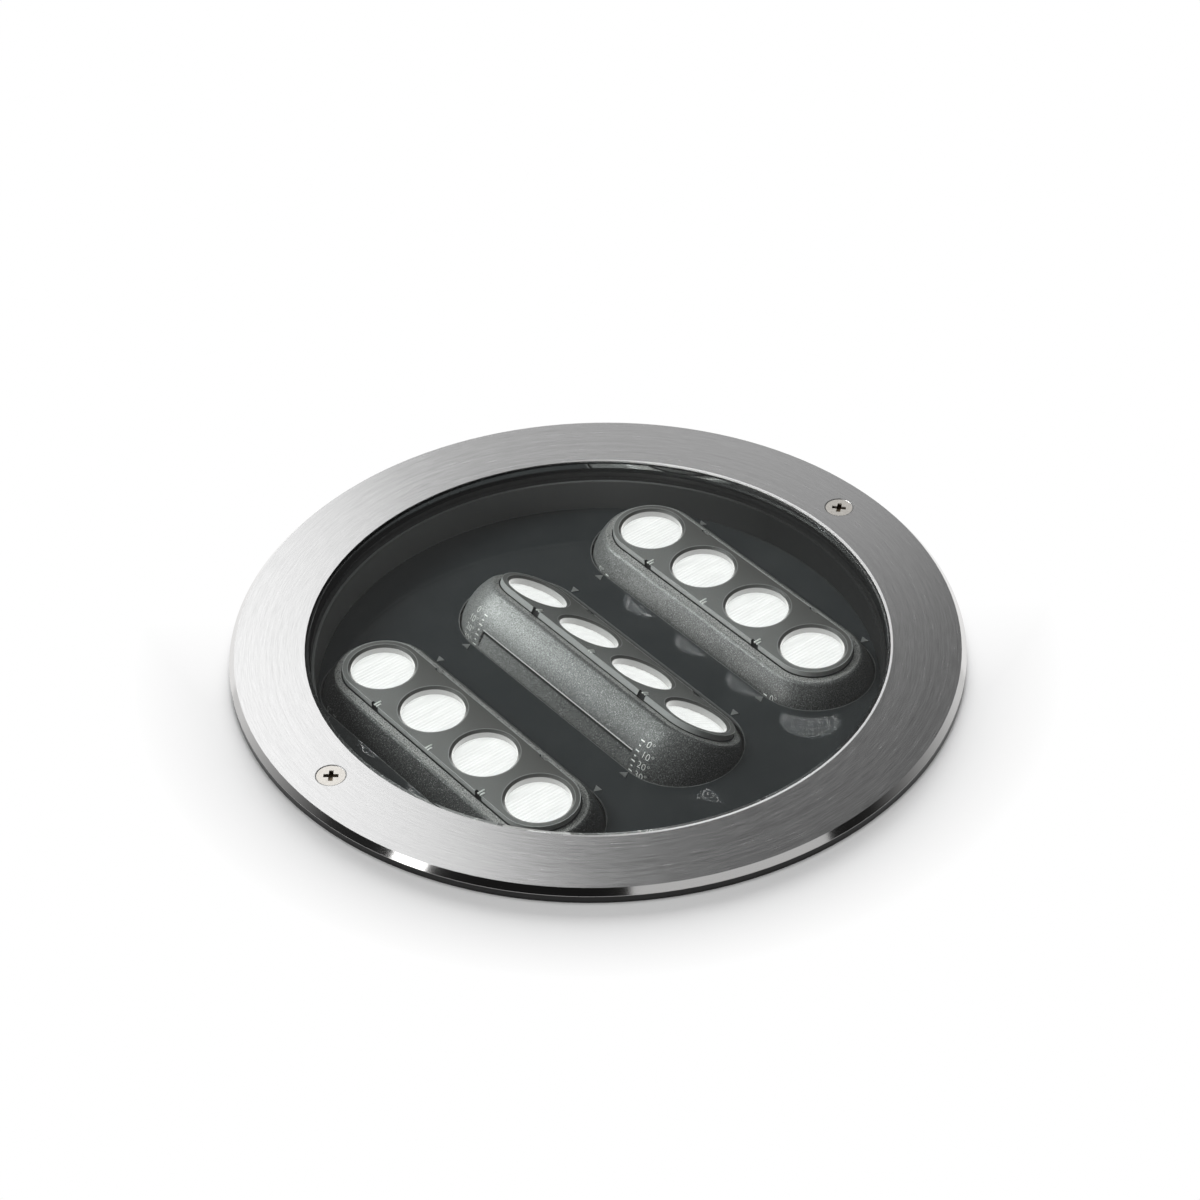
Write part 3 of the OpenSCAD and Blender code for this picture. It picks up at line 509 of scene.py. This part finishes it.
def cover_paint(side):
    """Satin black-brown plastic with painted light: its top painted lighter towards -X as sheen,
    its side wall painted light with painted shade at its foot and in the clip notches, and a
    painted highlight along its top edge; and dark chamfers round the lens holes.
    """
    finish = Finish(side + "_cover_paint")
    across, along, above = finish.bar_place(side)
    grain = finish.noise(1 / SMOOTH_GRAIN)
    outward = across.off_lens_line(along)
    off_lens = across.distance(along.off_nearest_lens())

    # The top is painted lighter towards its -X side, as a painted sheen.
    top = finish.blend(across.spread(-COVER_R, COVER_R), COVER_LIT_SIDE_TONE, COVER_SHADED_SIDE_TONE)
    # The side wall is painted light grey as painted light on it, and near black along its foot as
    # painted shade from the gap.
    above_gap_shade = above.spread(RIM_TOP + 0.2 * MM, RIM_TOP + 0.4 * MM)
    lit_wall_colour = finish.blend(above_gap_shade, COVER_GAP_SHADE_TONE, COVER_SIDE_LIT_TONE)
    walled = finish.blend(outward.spread(COVER_R - 0.2 * MM, COVER_R - 0.1 * MM), top, lit_wall_colour)
    # A painted highlight along the cover's top edge.
    near_top = above.spread(COVER_TOP - 0.3 * MM, COVER_TOP - 0.15 * MM)
    edge = outward.spread(COVER_R - 0.35 * MM, COVER_R - 0.2 * MM) * near_top
    edge_highlighted = finish.blend(edge, walled, COVER_EDGE_HIGHLIGHT_TONE)

    ring = off_lens.between(HOLE_R - 0.3 * MM, HOLE_EDGE_R, 0.1 * MM)
    ringed = finish.blend(ring, edge_highlighted, HOLE_RING_TONE)
    line = off_lens.between(HOLE_EDGE_R + 0.15 * MM, HOLE_EDGE_R + 0.35 * MM, 0.1 * MM)
    lined = finish.blend(line * HOLE_LINE_SHARE, ringed, HOLE_LINE_TONE)
    below_chamfer = above.fade(COVER_TOP - HOLE_CHAMFER - 0.1 * MM, COVER_TOP - HOLE_CHAMFER)
    hole = off_lens.fade(HOLE_R + 0.05 * MM, HOLE_R + 0.1 * MM) * below_chamfer

    # The clip notches are painted near black, and wider than cut, as painted shade inside them.
    by_edge = abs(across).between(COVER_R - 1.1 * MM, COVER_R - 0.15 * MM, 0.05 * MM)
    off_clip = abs(abs(along) - LENS_PITCH)
    by_clip = off_clip.fade(CLIP_RECESS_LENGTH, CLIP_RECESS_LENGTH + 0.04 * MM)
    below_top = above.fade(COVER_TOP - 0.1 * MM, COVER_TOP - 0.05 * MM)
    notch_shaded = finish.blend(by_edge * by_clip * below_top, lined, COVER_GAP_SHADE_TONE)
    return finish.output(finish.surface(
        base_color=finish.blend(hole, notch_shaded, HOLE_WALL_TONE),
        roughness=grain.full(0.36, 0.42), normal=finish.bump(grain, 0.1, 0.01 * MM)))


PLATE_DARK = (0.022, 0.025, 0.027, 1)
PLATE_LIGHT = (0.029, 0.032, 0.034, 1)
SLOT_HIGHLIGHT_TONE = tone(0.14)


def glossy_plate():
    """Glossy blue-black sheet, with a painted highlight along the edge of each slot."""
    finish = Finish("glossy_plate")
    x, y, z = finish.place()
    ripple = finish.noise(60)
    off_outer_bar = abs(abs(x) - bars["right"]["axis"].x)
    nearest = abs(x).math("MINIMUM", off_outer_bar)
    # A painted highlight along the edge of each slot.
    line = nearest.off_lens_line(y).between(SLOT_R - 0.1 * MM, SLOT_R + 0.3 * MM, 0.08 * MM)
    sheet = finish.blend(ripple.full(), PLATE_DARK, PLATE_LIGHT)
    return finish.output(finish.surface(
        base_color=finish.blend(line, sheet, SLOT_HIGHLIGHT_TONE),
        roughness=ripple.full(0.006, 0.01), ior=GLASS_IOR))


RIB_PITCH = 1.5 * MM
RIB_SHARE = 0.12
FACE_CELLS = 420
FACE_EDGE_SHARE = 0.25
FACE_DARK = (0.9, 0.9, 0.89, 1)
FACE_LIGHT = (1.0, 1.0, 0.99, 1)
FACE_EDGE = (0.6, 0.6, 0.59, 1)
GLARE = 75.0
GLARE_PITCH = 3.2 * MM
GLARE_DARK = (0.12, 0.13, 0.14, 1)
LENS_GLOW = 4.0
GLOW_COLOUR = (1, 0.99, 0.97, 1)
WHITE = (1, 1, 1, 1)


def lit_optics(side):
    """The lenses' lit faces: plain to the eye, and strong in the gloss of the glass and plate."""
    finish = Finish(side + "_lit_optics")
    across, along, above = finish.bar_place(side)
    cells = finish.noise(FACE_CELLS, stretch=(0.25, 1.0, 1.0)).spread(0.35, 0.65)
    share = along.wave(RIB_PITCH, -1.0) * RIB_SHARE + cells * (1 - RIB_SHARE)
    off_lens = across.distance(along.off_nearest_lens())
    by_edge = off_lens.spread(LENS_R - 2.2 * MM, LENS_R - 0.8 * MM)
    face = finish.surface(
        base_color=tone(0.05), roughness=0.6, emission_strength=1.0,
        emission_color=finish.blend(
            by_edge * FACE_EDGE_SHARE, finish.blend(share, FACE_DARK, FACE_LIGHT), FACE_EDGE))
    rings = off_lens.wave(GLARE_PITCH, -0.4)
    glare = finish.glow(finish.blend(rings, GLARE_DARK, WHITE), GLARE)
    bounced = finish.mix(
        finish.ray("Is Singular Ray"), finish.glow(GLOW_COLOUR, LENS_GLOW), glare)
    return finish.output(finish.mix(finish.ray("Is Reflection Ray"), face, bounced))


WALL_SHADED_TONE = tone(0.012)
WALL_LIT_TONE = tone(0.26)


def wall_paint():
    """Smooth dark paint, painted palest at the far left of the inner wall and darkest at the right,
    as painted light and shade.
    """
    finish = Finish("wall_coat")
    x, y, z = finish.place()
    grain = finish.noise(1 / SMOOTH_GRAIN)
    lit_far_left = ((y - x) / RING_R).spread(-0.6, 0.9)
    return finish.output(finish.surface(
        base_color=finish.blend(lit_far_left, WALL_SHADED_TONE, WALL_LIT_TONE),
        roughness=grain.full(0.5, 0.6)))


# Plain coats, metals, rubber and plastics

COAT_GRAIN = 0.5 * MM


def grained_coat(name, dark, light, roughness, depth):
    """Paint with a fine sandy grain."""
    finish = Finish(name)
    grain = finish.noise(1 / COAT_GRAIN, 3.0, roughness=0.6)
    coarse = finish.noise(0.25 / COAT_GRAIN)
    share = (grain * 0.75 + coarse * 0.25).spread(0.35, 0.65)
    return finish.output(finish.surface(
        base_color=finish.blend(share, tone(dark), tone(light)),
        roughness=share * 0.15 + roughness, normal=finish.bump(grain, 0.6, depth)))


def plain_metal(name, level, roughness):
    finish = Finish(name)
    grain = finish.noise(METAL_GRAIN, 3.0)
    return finish.output(finish.surface(
        base_color=finish.blend(grain.full(), tone(level * 0.9), tone(level)),
        metallic=1.0, roughness=grain.full(roughness * 0.8, roughness * 1.2)))


def plain_brass():
    finish = Finish("plain_brass")
    grain = finish.noise(METAL_GRAIN, 3.0)
    return finish.output(finish.surface(
        base_color=finish.blend(grain, (0.6, 0.42, 0.16, 1), (0.72, 0.52, 0.22, 1)),
        metallic=1.0, roughness=0.3))


def rubber(name, level, roughness):
    finish = Finish(name)
    grain = finish.noise(2500)
    return finish.output(finish.surface(
        base_color=finish.blend(grain, tone(level * 0.8), tone(level * 1.2)),
        roughness=roughness, normal=finish.bump(grain, 0.3, 0.05 * MM)))


def moulded(name, colour, roughness):
    """Moulded plastic with a faint grain."""
    finish = Finish(name)
    grain = finish.noise(1800)
    darker = tuple(0.92 * part for part in colour) + (1.0,)
    return finish.output(finish.surface(
        base_color=finish.blend(grain, darker, colour + (1.0,)),
        roughness=roughness, normal=finish.bump(grain, 0.15, 0.03 * MM)))


def board_finish():
    """White solder mask."""
    finish = Finish("board_mask")
    cells = finish.noise(500, 1.0).spread(0.4, 0.6)
    return finish.output(finish.surface(
        base_color=finish.blend(cells, (0.78, 0.79, 0.76, 1), (0.84, 0.84, 0.81, 1)),
        roughness=0.35))


steel = plain_metal("plain_steel", 0.62, 0.28)
galvanised = plain_metal("galvanised", 0.5, 0.45)
chip_yellow = moulded("chip_yellow", (0.85, 0.7, 0.2), 0.4)
board_white = board_finish()
washer_grey = moulded("washer_grey", (0.25, 0.25, 0.25), 0.5)

dress(brushed_ring(), "trim_ring")
dress(screw_finish(), "trim_screws")
dress(clear_glass(), "glass")
dress(wall_paint(), "inner_wall")
dress(glossy_plate(), "mask_plate")
dress(steel, "seat_screws", "bracket_screws", "tray_screws", "driver_screws")
dress(rubber("black_rubber", 0.008, 0.55),
      "glass_seal", "flange_gasket", "gland_washer", "gland_seal")
dress(grained_coat("seat_coat", 0.003, 0.005, 0.5, 0.005 * MM), "seat_ring")
dress(grained_coat("black_coat", 0.018, 0.03, 0.45, 0.08 * MM),
      "mounting_flange", "housing", "skirt", "vent_plug")
dress(plain_metal("sheet_aluminium", 0.7, 0.4), "tray", "tray_posts")
dress(moulded("driver_white", (0.78, 0.78, 0.76), 0.45), "driver_case")
dress(moulded("driver_grey", (0.5, 0.5, 0.5), 0.4), "driver_lid")
dress(moulded("terminal_cream", (0.8, 0.74, 0.58), 0.5), "terminal_block")
dress(plain_brass(), "terminal_screws", "earth_washer")
dress(moulded("earth_green", (0.03, 0.3, 0.09), 0.35), "earth_screw")
dress(plain_metal("nickel_plate", 0.68, 0.2), "gland_body", "gland_locknut", "gland_cap")
for side in SIDES:
    dress(bar_paint(side), side + "_body")
    dress(cover_paint(side), side + "_cover")
    dress(board_white, side + "_board")
    dress(chip_yellow, side + "_chips")
    dress(steel, side + "_board_screws", side + "_pins")
    dress(washer_grey, side + "_washers")
    dress(galvanised, side + "_brackets")


# Modelling helpers

def clear_selection():
    if bpy.context.object is not None and bpy.context.object.mode != "OBJECT":
        bpy.ops.object.mode_set(mode="OBJECT")
    bpy.ops.object.select_all(action="DESELECT")


def only(piece):
    """Selects one object and makes it active."""
    clear_selection()
    piece.select_set(True)
    bpy.context.view_layer.objects.active = piece


def edit_all(piece):
    """Opens one object in edit mode with all of its mesh selected."""
    only(piece)
    bpy.ops.object.mode_set(mode="EDIT")
    bpy.ops.mesh.select_all(action="SELECT")


def close_up(piece, threshold):
    """Merges doubled corners and turns the faces outwards."""
    edit_all(piece)
    bpy.ops.mesh.remove_doubles(threshold=threshold)
    bpy.ops.mesh.normals_make_consistent(inside=False)
    bpy.ops.object.mode_set(mode="OBJECT")


def apply_place(piece):
    only(piece)
    bpy.ops.object.transform_apply(location=True, rotation=True, scale=True)
    return piece


def put(piece, place):
    """Moves a finished mesh into place, so that its object stays at the origin."""
    piece.data.transform(place)
    piece.data.update()
    return piece


def copy_of(piece, name, place):
    made = bpy.data.objects.new(name, piece.data.copy())
    bpy.context.scene.collection.objects.link(made)
    return put(made, place)


def join(name, pieces):
    clear_selection()
    for piece in pieces:
        piece.select_set(True)
    bpy.context.view_layer.objects.active = pieces[0]
    bpy.ops.object.join()
    joined = bpy.context.view_layer.objects.active
    joined.name = name
    joined.data.name = name
    return joined


def smooth(piece, degrees):
    only(piece)
    bpy.ops.object.shade_smooth_by_angle(angle=math.radians(degrees))
    return piece


def finish_piece(piece, material, body, slot, *replaced):
    """Gives a new piece its material and its body, and hides any node that it stands for. The slot
    is not used.
    """
    piece.data.materials.clear()
    piece.data.materials.append(material)
    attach(piece, body)
    if replaced:
        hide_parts(*replaced)


# Ribbed lenses

RIB_HEIGHT = 0.3 * MM
HALF_RIB = RIB_PITCH / 2
LENS_SIDES = 96
CONE_SIDES = 48
LENS_COUNT = 4
LENS_FLANGE = 2.0 * MM
LENS_FOOT_R = 6.0 * MM
LENS_NECK_R = LENS_R - 0.5 * MM
NEAR_LINE = 0.02


def ribbed_lens():
    """One lens about a bar's Z axis: a ribbed face on a flange, and a cone down to the board."""
    clear_selection()
    bpy.ops.mesh.primitive_cylinder_add(
        vertices=LENS_SIDES, radius=LENS_R, depth=LENS_FLANGE,
        location=(0, 0, LENS_TOP - LENS_FLANGE / 2 - RIB_HEIGHT))
    face = apply_place(bpy.context.object)
    edit_all(face)
    steps = int(LENS_R / HALF_RIB)
    for step in range(-steps, steps + 1):
        bpy.ops.mesh.select_all(action="SELECT")
        bpy.ops.mesh.bisect(plane_co=(0, step * HALF_RIB, 0), plane_no=(0, 1, 0))
    bpy.ops.mesh.select_all(action="DESELECT")
    mesh = bmesh.from_edit_mesh(face.data)
    top = LENS_TOP - RIB_HEIGHT - 0.01 * MM
    for vertex in mesh.verts:
        step = vertex.co.y / HALF_RIB
        on_ridge = abs(step - round(step)) < NEAR_LINE and round(step) % 2 == 0
        vertex.select = on_ridge and vertex.co.z > top
    bmesh.update_edit_mesh(face.data)
    bpy.ops.transform.translate(value=(0, 0, RIB_HEIGHT))
    clear_selection()
    depth = LENS_TOP - LENS_FLANGE - RIB_HEIGHT - LENS_FOOT
    bpy.ops.mesh.primitive_cone_add(
        vertices=CONE_SIDES, radius1=LENS_FOOT_R, radius2=LENS_NECK_R, depth=depth,
        location=(0, 0, LENS_FOOT + depth / 2))
    cone = apply_place(bpy.context.object)
    return smooth(join("lens_master", [face, cone]), 20)


lens_master = ribbed_lens()
for side in SIDES:
    lenses = []
    for i in range(LENS_COUNT):
        along_bar = (i - (LENS_COUNT - 1) / 2) * LENS_PITCH
        lenses.append(copy_of(
            lens_master, side + "_lens", Matrix.Translation((0, along_bar, 0))))
    optics = put(join(side + "_ribbed_lenses", lenses), bars[side]["place"])
    finish_piece(optics, lit_optics(side), bars[side]["body"], "lens_white", side + "_lenses")
bpy.data.objects.remove(lens_master)


# Degree scales printed on the ends of the bars

ZERO_ANGLE = 15
SCALE_STEP = 5
SCALE_END = 30
TICK_LONG = 1.9 * MM
TICK_SHORT = 0.9 * MM
TICK_WIDE = 0.5 * MM
DIGIT_HEIGHT = 2.9 * MM
TEXT_SIZE = DIGIT_HEIGHT * 1.35
PRINT_LIFT = 0.05 * MM
PRINT_THINNED = 0.05 * MM
TICK_Y = END_Y - 0.3 * MM
NUMBER_Y = END_Y + 2.0 * MM


def wrap_on_bar(piece, side_sign, from_y, degrees):
    """Lays a flat print, drawn about its origin, on a bar's round side, at an angle above level."""
    for vertex in piece.data.vertices:
        along = from_y + side_sign * vertex.co.x
        round_by = math.radians(degrees) + vertex.co.y / BAR_R
        past_end = max(0.0, abs(along) - END_Y)
        reach = math.sqrt(BAR_R ** 2 - past_end ** 2) + PRINT_LIFT + vertex.co.z
        vertex.co = (side_sign * reach * math.cos(round_by), along, reach * math.sin(round_by))
    piece.data.update()
    return piece


def tick(length):
    clear_selection()
    bpy.ops.mesh.primitive_cube_add(size=1, scale=(length, TICK_WIDE, PRINT_LIFT))
    return apply_place(bpy.context.object)


def number(words, align):
    clear_selection()
    bpy.ops.object.text_add()
    label = bpy.context.object
    label.data.body = words
    label.data.size = TEXT_SIZE
    label.data.align_x = align
    label.data.align_y = "CENTER"
    label.data.space_character = 1.05
    label.data.resolution_u = 3
    label.data.offset = -PRINT_THINNED
    label.data.extrude = PRINT_LIFT / 2
    bpy.ops.object.convert(target="MESH")
    return apply_place(bpy.context.object)


def degree_scale():
    """Ticks and numbers on both sides and both ends of one bar, drawn on its tilt axis."""
    marks = []
    for side_sign in (-1, 1):
        for end_sign in (-1, 1):
            align = "LEFT" if side_sign * end_sign > 0 else "RIGHT"
            for degrees in range(0, SCALE_END + 1, SCALE_STEP):
                angle = ZERO_ANGLE - degrees
                numbered = degrees % (2 * SCALE_STEP) == 0
                mark = tick(TICK_LONG if numbered else TICK_SHORT)
                marks.append(wrap_on_bar(mark, side_sign, end_sign * TICK_Y, angle))
                if numbered:
                    label = number(f"{degrees}\N{DEGREE SIGN}", align)
                    marks.append(wrap_on_bar(label, side_sign, end_sign * NUMBER_Y, angle))
    scale = join("scale_master", marks)
    close_up(scale, 0.001 * MM)
    return scale


scale_master = degree_scale()
print_white = moulded("scale_print", (0.95, 0.95, 0.93), 0.5)
for side in SIDES:
    printed = copy_of(scale_master, side + "_degree_scale", bars[side]["place"])
    finish_piece(printed, print_white, bars[side]["body"], "board_white")
bpy.data.objects.remove(scale_master)


# Pale clips that hold each cover at the edge on its -X side

CLIP_PLACES = (-LENS_PITCH, 0.0, LENS_PITCH)
CLIP_LENGTHS = (3.2 * MM, 2.24 * MM)
CLIP_WIDE = 0.75 * MM
CLIP_HIGH = 0.6 * MM
CLIP_GAP = 1.3 * MM
CLIP_ROUNDING = 0.16 * MM
CLIP_OVERHANG = 0.1 * MM
CLIP_SUNK = CLIP_HIGH * 0.15


def clip_tongue(length):
    """One rounded finger that lies over the cover's edge, along the X axis."""
    clear_selection()
    bpy.ops.mesh.primitive_cube_add(
        size=1, scale=(length, CLIP_WIDE, CLIP_HIGH),
        location=(COVER_R + CLIP_OVERHANG - length / 2, 0, COVER_TOP - CLIP_SUNK))
    finger = apply_place(bpy.context.object)
    edit_all(finger)
    bpy.ops.mesh.bevel(offset=CLIP_ROUNDING, segments=3, affect="EDGES")
    bpy.ops.object.mode_set(mode="OBJECT")
    return smooth(finger, 50)


def cover_clips():
    """Two fingers, a long one and a short one, at each clip's place."""
    half_turn = Matrix.Rotation(math.pi, 4, "Z")
    fingers = []
    for y in CLIP_PLACES:
        for step, length in enumerate(CLIP_LENGTHS):
            place = half_turn @ Matrix.Translation((0, y + step * CLIP_GAP, 0))
            fingers.append(put(clip_tongue(length), place))
    return join("clips_master", fingers)


clips_master = cover_clips()
clip_pale = moulded("clip_pale", (0.85, 0.85, 0.83), 0.3)
for side in SIDES:
    clips = copy_of(clips_master, side + "_cover_clips", bars[side]["place"])
    finish_piece(clips, clip_pale, bars[side]["body"], "board_white")
bpy.data.objects.remove(clips_master)


# Pointers pressed up from the mask plate beside the ends of each slot

POINTER_TIP = 24.9 * MM
POINTER_BASE = 27.6 * MM
POINTER_HALF = 1.7 * MM
POINTER_RISE = 0.45 * MM
POINTER_Y = END_Y + 0.3 * MM


def pointer():
    """A small wedge on the plate: flat at its tip, raised at its base, pointing along -X.

    It starts as a three-sided prism, whose corner at +Y becomes the tip.
    """
    clear_selection()
    bpy.ops.mesh.primitive_cylinder_add(vertices=3, radius=1, depth=1)
    wedge = bpy.context.object
    for vertex in wedge.data.vertices:
        if vertex.co.y > 0.5:
            vertex.co = (POINTER_TIP, 0, 0)
        else:
            sideways = math.copysign(POINTER_HALF, vertex.co.x)
            vertex.co = (POINTER_BASE, sideways, POINTER_RISE if vertex.co.z > 0 else 0)
    close_up(wedge, 0.01 * MM)
    return wedge


pointer_master = pointer()
pointers = []
for side in SIDES:
    for half_turn in (0, math.pi):
        for y in (-POINTER_Y, POINTER_Y):
            spot = Matrix.Translation((bars[side]["axis"].x, y, PLATE_TOP))
            pointers.append(copy_of(
                pointer_master, "pointer", spot @ Matrix.Rotation(half_turn, 4, "Z")))
pointer_coat = moulded("pointer_coat", (0.17, 0.17, 0.17), 0.3)
finish_piece(join("plate_pointers", pointers), pointer_coat, "fixture", "plate_black")
bpy.data.objects.remove(pointer_master)


# Stage: the floor that the skirt stands on, and a block of ground cut open on the far side

FLOOR_SIZE = 8
BLOCK_WIDTH = 0.8
BLOCK_DEPTH = 0.62
BLOCK_BACK = 0.055
BLOCK_TOP = GROUND_Z - 0.05 * MM
HOLE_CLEARANCE = 0.5 * MM
HOLE_SIDES = 192
SHADOW_REACH = 0.148
WHITE_FROM = 0.175
SHADOW_FROM = -0.02
SHADOW_FULL = 0.03
GROUND_TONE = tone(0.9)


def ground_white():
    """A matt white that keeps shadows near the light and shows as plain white further out."""
    finish = Finish("ground_white")
    x, y, z = finish.place()
    nearer = x * GROUND_TO_CAMERA.x + y * GROUND_TO_CAMERA.y
    far_out = x.distance(y).spread(SHADOW_REACH, WHITE_FROM)
    away = far_out.larger(nearer.fade(SHADOW_FROM, SHADOW_FULL))
    seen = finish.ray("Is Camera Ray", "Is Glossy Ray", "Is Transmission Ray")
    matt = finish.node("ShaderNodeBsdfDiffuse", {}, {"Color": GROUND_TONE})
    return finish.output(finish.mix(seen * away, matt, finish.glow(WHITE, 1.0)))


def lay_floor():
    clear_selection()
    bpy.ops.mesh.primitive_plane_add(size=FLOOR_SIZE)
    made = apply_place(bpy.context.object)
    made.name = "floor"
    return made


def cut_ground():
    """A block of ground round the light, with a hole for it, cut off just behind its middle."""
    middle = GROUND_TO_CAMERA * (BLOCK_DEPTH / 2 - BLOCK_BACK)
    clear_selection()
    bpy.ops.mesh.primitive_cube_add(
        size=1, location=(middle.x, middle.y, BLOCK_TOP / 2),
        rotation=(0, 0, math.radians(CAMERA_AZIMUTH)), scale=(BLOCK_WIDTH, BLOCK_DEPTH, BLOCK_TOP))
    made = apply_place(bpy.context.object)
    made.name = "cut_ground"
    clear_selection()
    bpy.ops.mesh.primitive_cylinder_add(
        vertices=HOLE_SIDES, radius=FLANGE_R + HOLE_CLEARANCE, depth=1, location=(0, 0, GROUND_Z))
    cutter = apply_place(bpy.context.object)
    only(made)
    hole = made.modifiers.new("hole", "BOOLEAN")
    hole.operation = "DIFFERENCE"
    hole.object = cutter
    bpy.ops.object.modifier_apply(modifier="hole")
    bpy.data.objects.remove(cutter)
    return made


white = ground_white()
ground = [lay_floor(), cut_ground()]
for surface in ground:
    surface.data.materials.append(white)


# Light: distances in metres from the middle of the ring's top, strengths in watts

CENTRE = Vector((0, 0, RING_TOP))
BEHIND = -GROUND_TO_CAMERA * 1.5
SHEEN_HEIGHT = 0.687
KEY_PLACE = (-0.74, 0.7, 0.95)
nodes = frame["nodes"]
trim = [nodes["trim_ring"], nodes["trim_screws"]]


def receivers(name, pieces, state):
    """The set of pieces that a lamp lights, or that it leaves out."""
    group = bpy.data.collections.new(name)
    for piece in pieces:
        group.objects.link(piece)
    for entry in group.collection_objects:
        entry.light_linking.link_state = state
    return group


def softbox(name, group, power, size, place, turn=None):
    """A rectangular lamp that faces the ring's middle, or straight down when its turn is given."""
    data = bpy.data.lights.new(name, "AREA")
    data.energy = power
    data.shape = "RECTANGLE"
    data.size, data.size_y = size
    made = bpy.data.objects.new(name, data)
    bpy.context.scene.collection.objects.link(made)
    made.location = CENTRE + Vector(place)
    if turn is None:
        made.rotation_euler = Vector(place).to_track_quat("Z", "Y").to_euler()
    else:
        made.rotation_euler = (0, 0, math.radians(turn))
    made.light_linking.receiver_collection = group


stage_only = receivers("stage_only", ground, "INCLUDE")
trim_only = receivers("trim_only", trim, "INCLUDE")
inside_only = receivers("inside_only", [*ground, nodes["glass"], nodes["trim_ring"]], "EXCLUDE")
whole_light = receivers("whole_light", [*ground, nodes["glass"]], "EXCLUDE")
glass_only = receivers("glass_only", [nodes["glass"]], "INCLUDE")

softbox("overhead", inside_only, 5, (1.2, 1.0), (0.0, 0.25, 1.55))
softbox("key", inside_only, 19, (0.5, 0.5), KEY_PLACE)
softbox("ring_key", trim_only, 21, (0.6, 0.6), KEY_PLACE)
softbox("left_sheen", whole_light, 2.5, (0.6, 0.8), (0.146, 0.865, SHEEN_HEIGHT), turn=157)
softbox("far_sheen", trim_only, 0.55, (0.5, 0.5), (0.757, 0.877, SHEEN_HEIGHT), turn=42)
softbox("wide_sheen", trim_only, 0.55, (1.3, 1.3), (0.65, 0.7, SHEEN_HEIGHT), turn=0)
softbox("glass_veil", glass_only, 3.4, (3.0, 3.0), (0.4, 0.5, SHEEN_HEIGHT), turn=0)
softbox("chamfer_left", trim_only, 0.6, (0.2, 0.3), (-1.18, 0.06, 0.76))
softbox("chamfer_near", trim_only, 1.05, (1.2, 0.5), (0.0, -1.1, 0.79))
softbox("ground_low", stage_only, 39, (1.4, 0.8), (BEHIND.x, BEHIND.y, 0.55))
softbox("ground_high", stage_only, 13.5, (1.2, 1.2), (0.0, 0.0, 1.5))


# World: white to the camera, a dim room with a pale horizon and zenith in gloss, and faint
# elsewhere

HORIZON = 0.7
ZENITH = 0.3
ROOM_NEAR = 0.01
ROOM_FAR = 0.03
FAINT = 0.06


def studio_air():
    world = bpy.data.worlds.new("studio")
    bpy.context.scene.world = world
    world.use_nodes = True
    air = Finish("studio", world.node_tree)
    east, north, up = air.place("Generated")
    camera_ray = air.ray("Is Camera Ray")
    gloss_ray = air.ray("Is Glossy Ray", "Is Transmission Ray")
    away = (east * BEHIND.x + north * BEHIND.y) / BEHIND.length
    room = away.spread(-0.3, 0.3, ROOM_NEAR, ROOM_FAR)
    shade = up.fade(0.05, 0.4) * HORIZON + up.spread(0.82, 0.95) * ZENITH + room
    unseen = gloss_ray * shade + (1 - gloss_ray) * FAINT
    level = camera_ray + (1 - camera_ray) * unseen
    sky = air.node("ShaderNodeBackground", {}, {"Color": WHITE, "Strength": level})
    air.node("ShaderNodeOutputWorld", {}, {"Surface": sky.outputs[0]})


studio_air()
bpy.context.scene.view_settings.view_transform = "Standard"
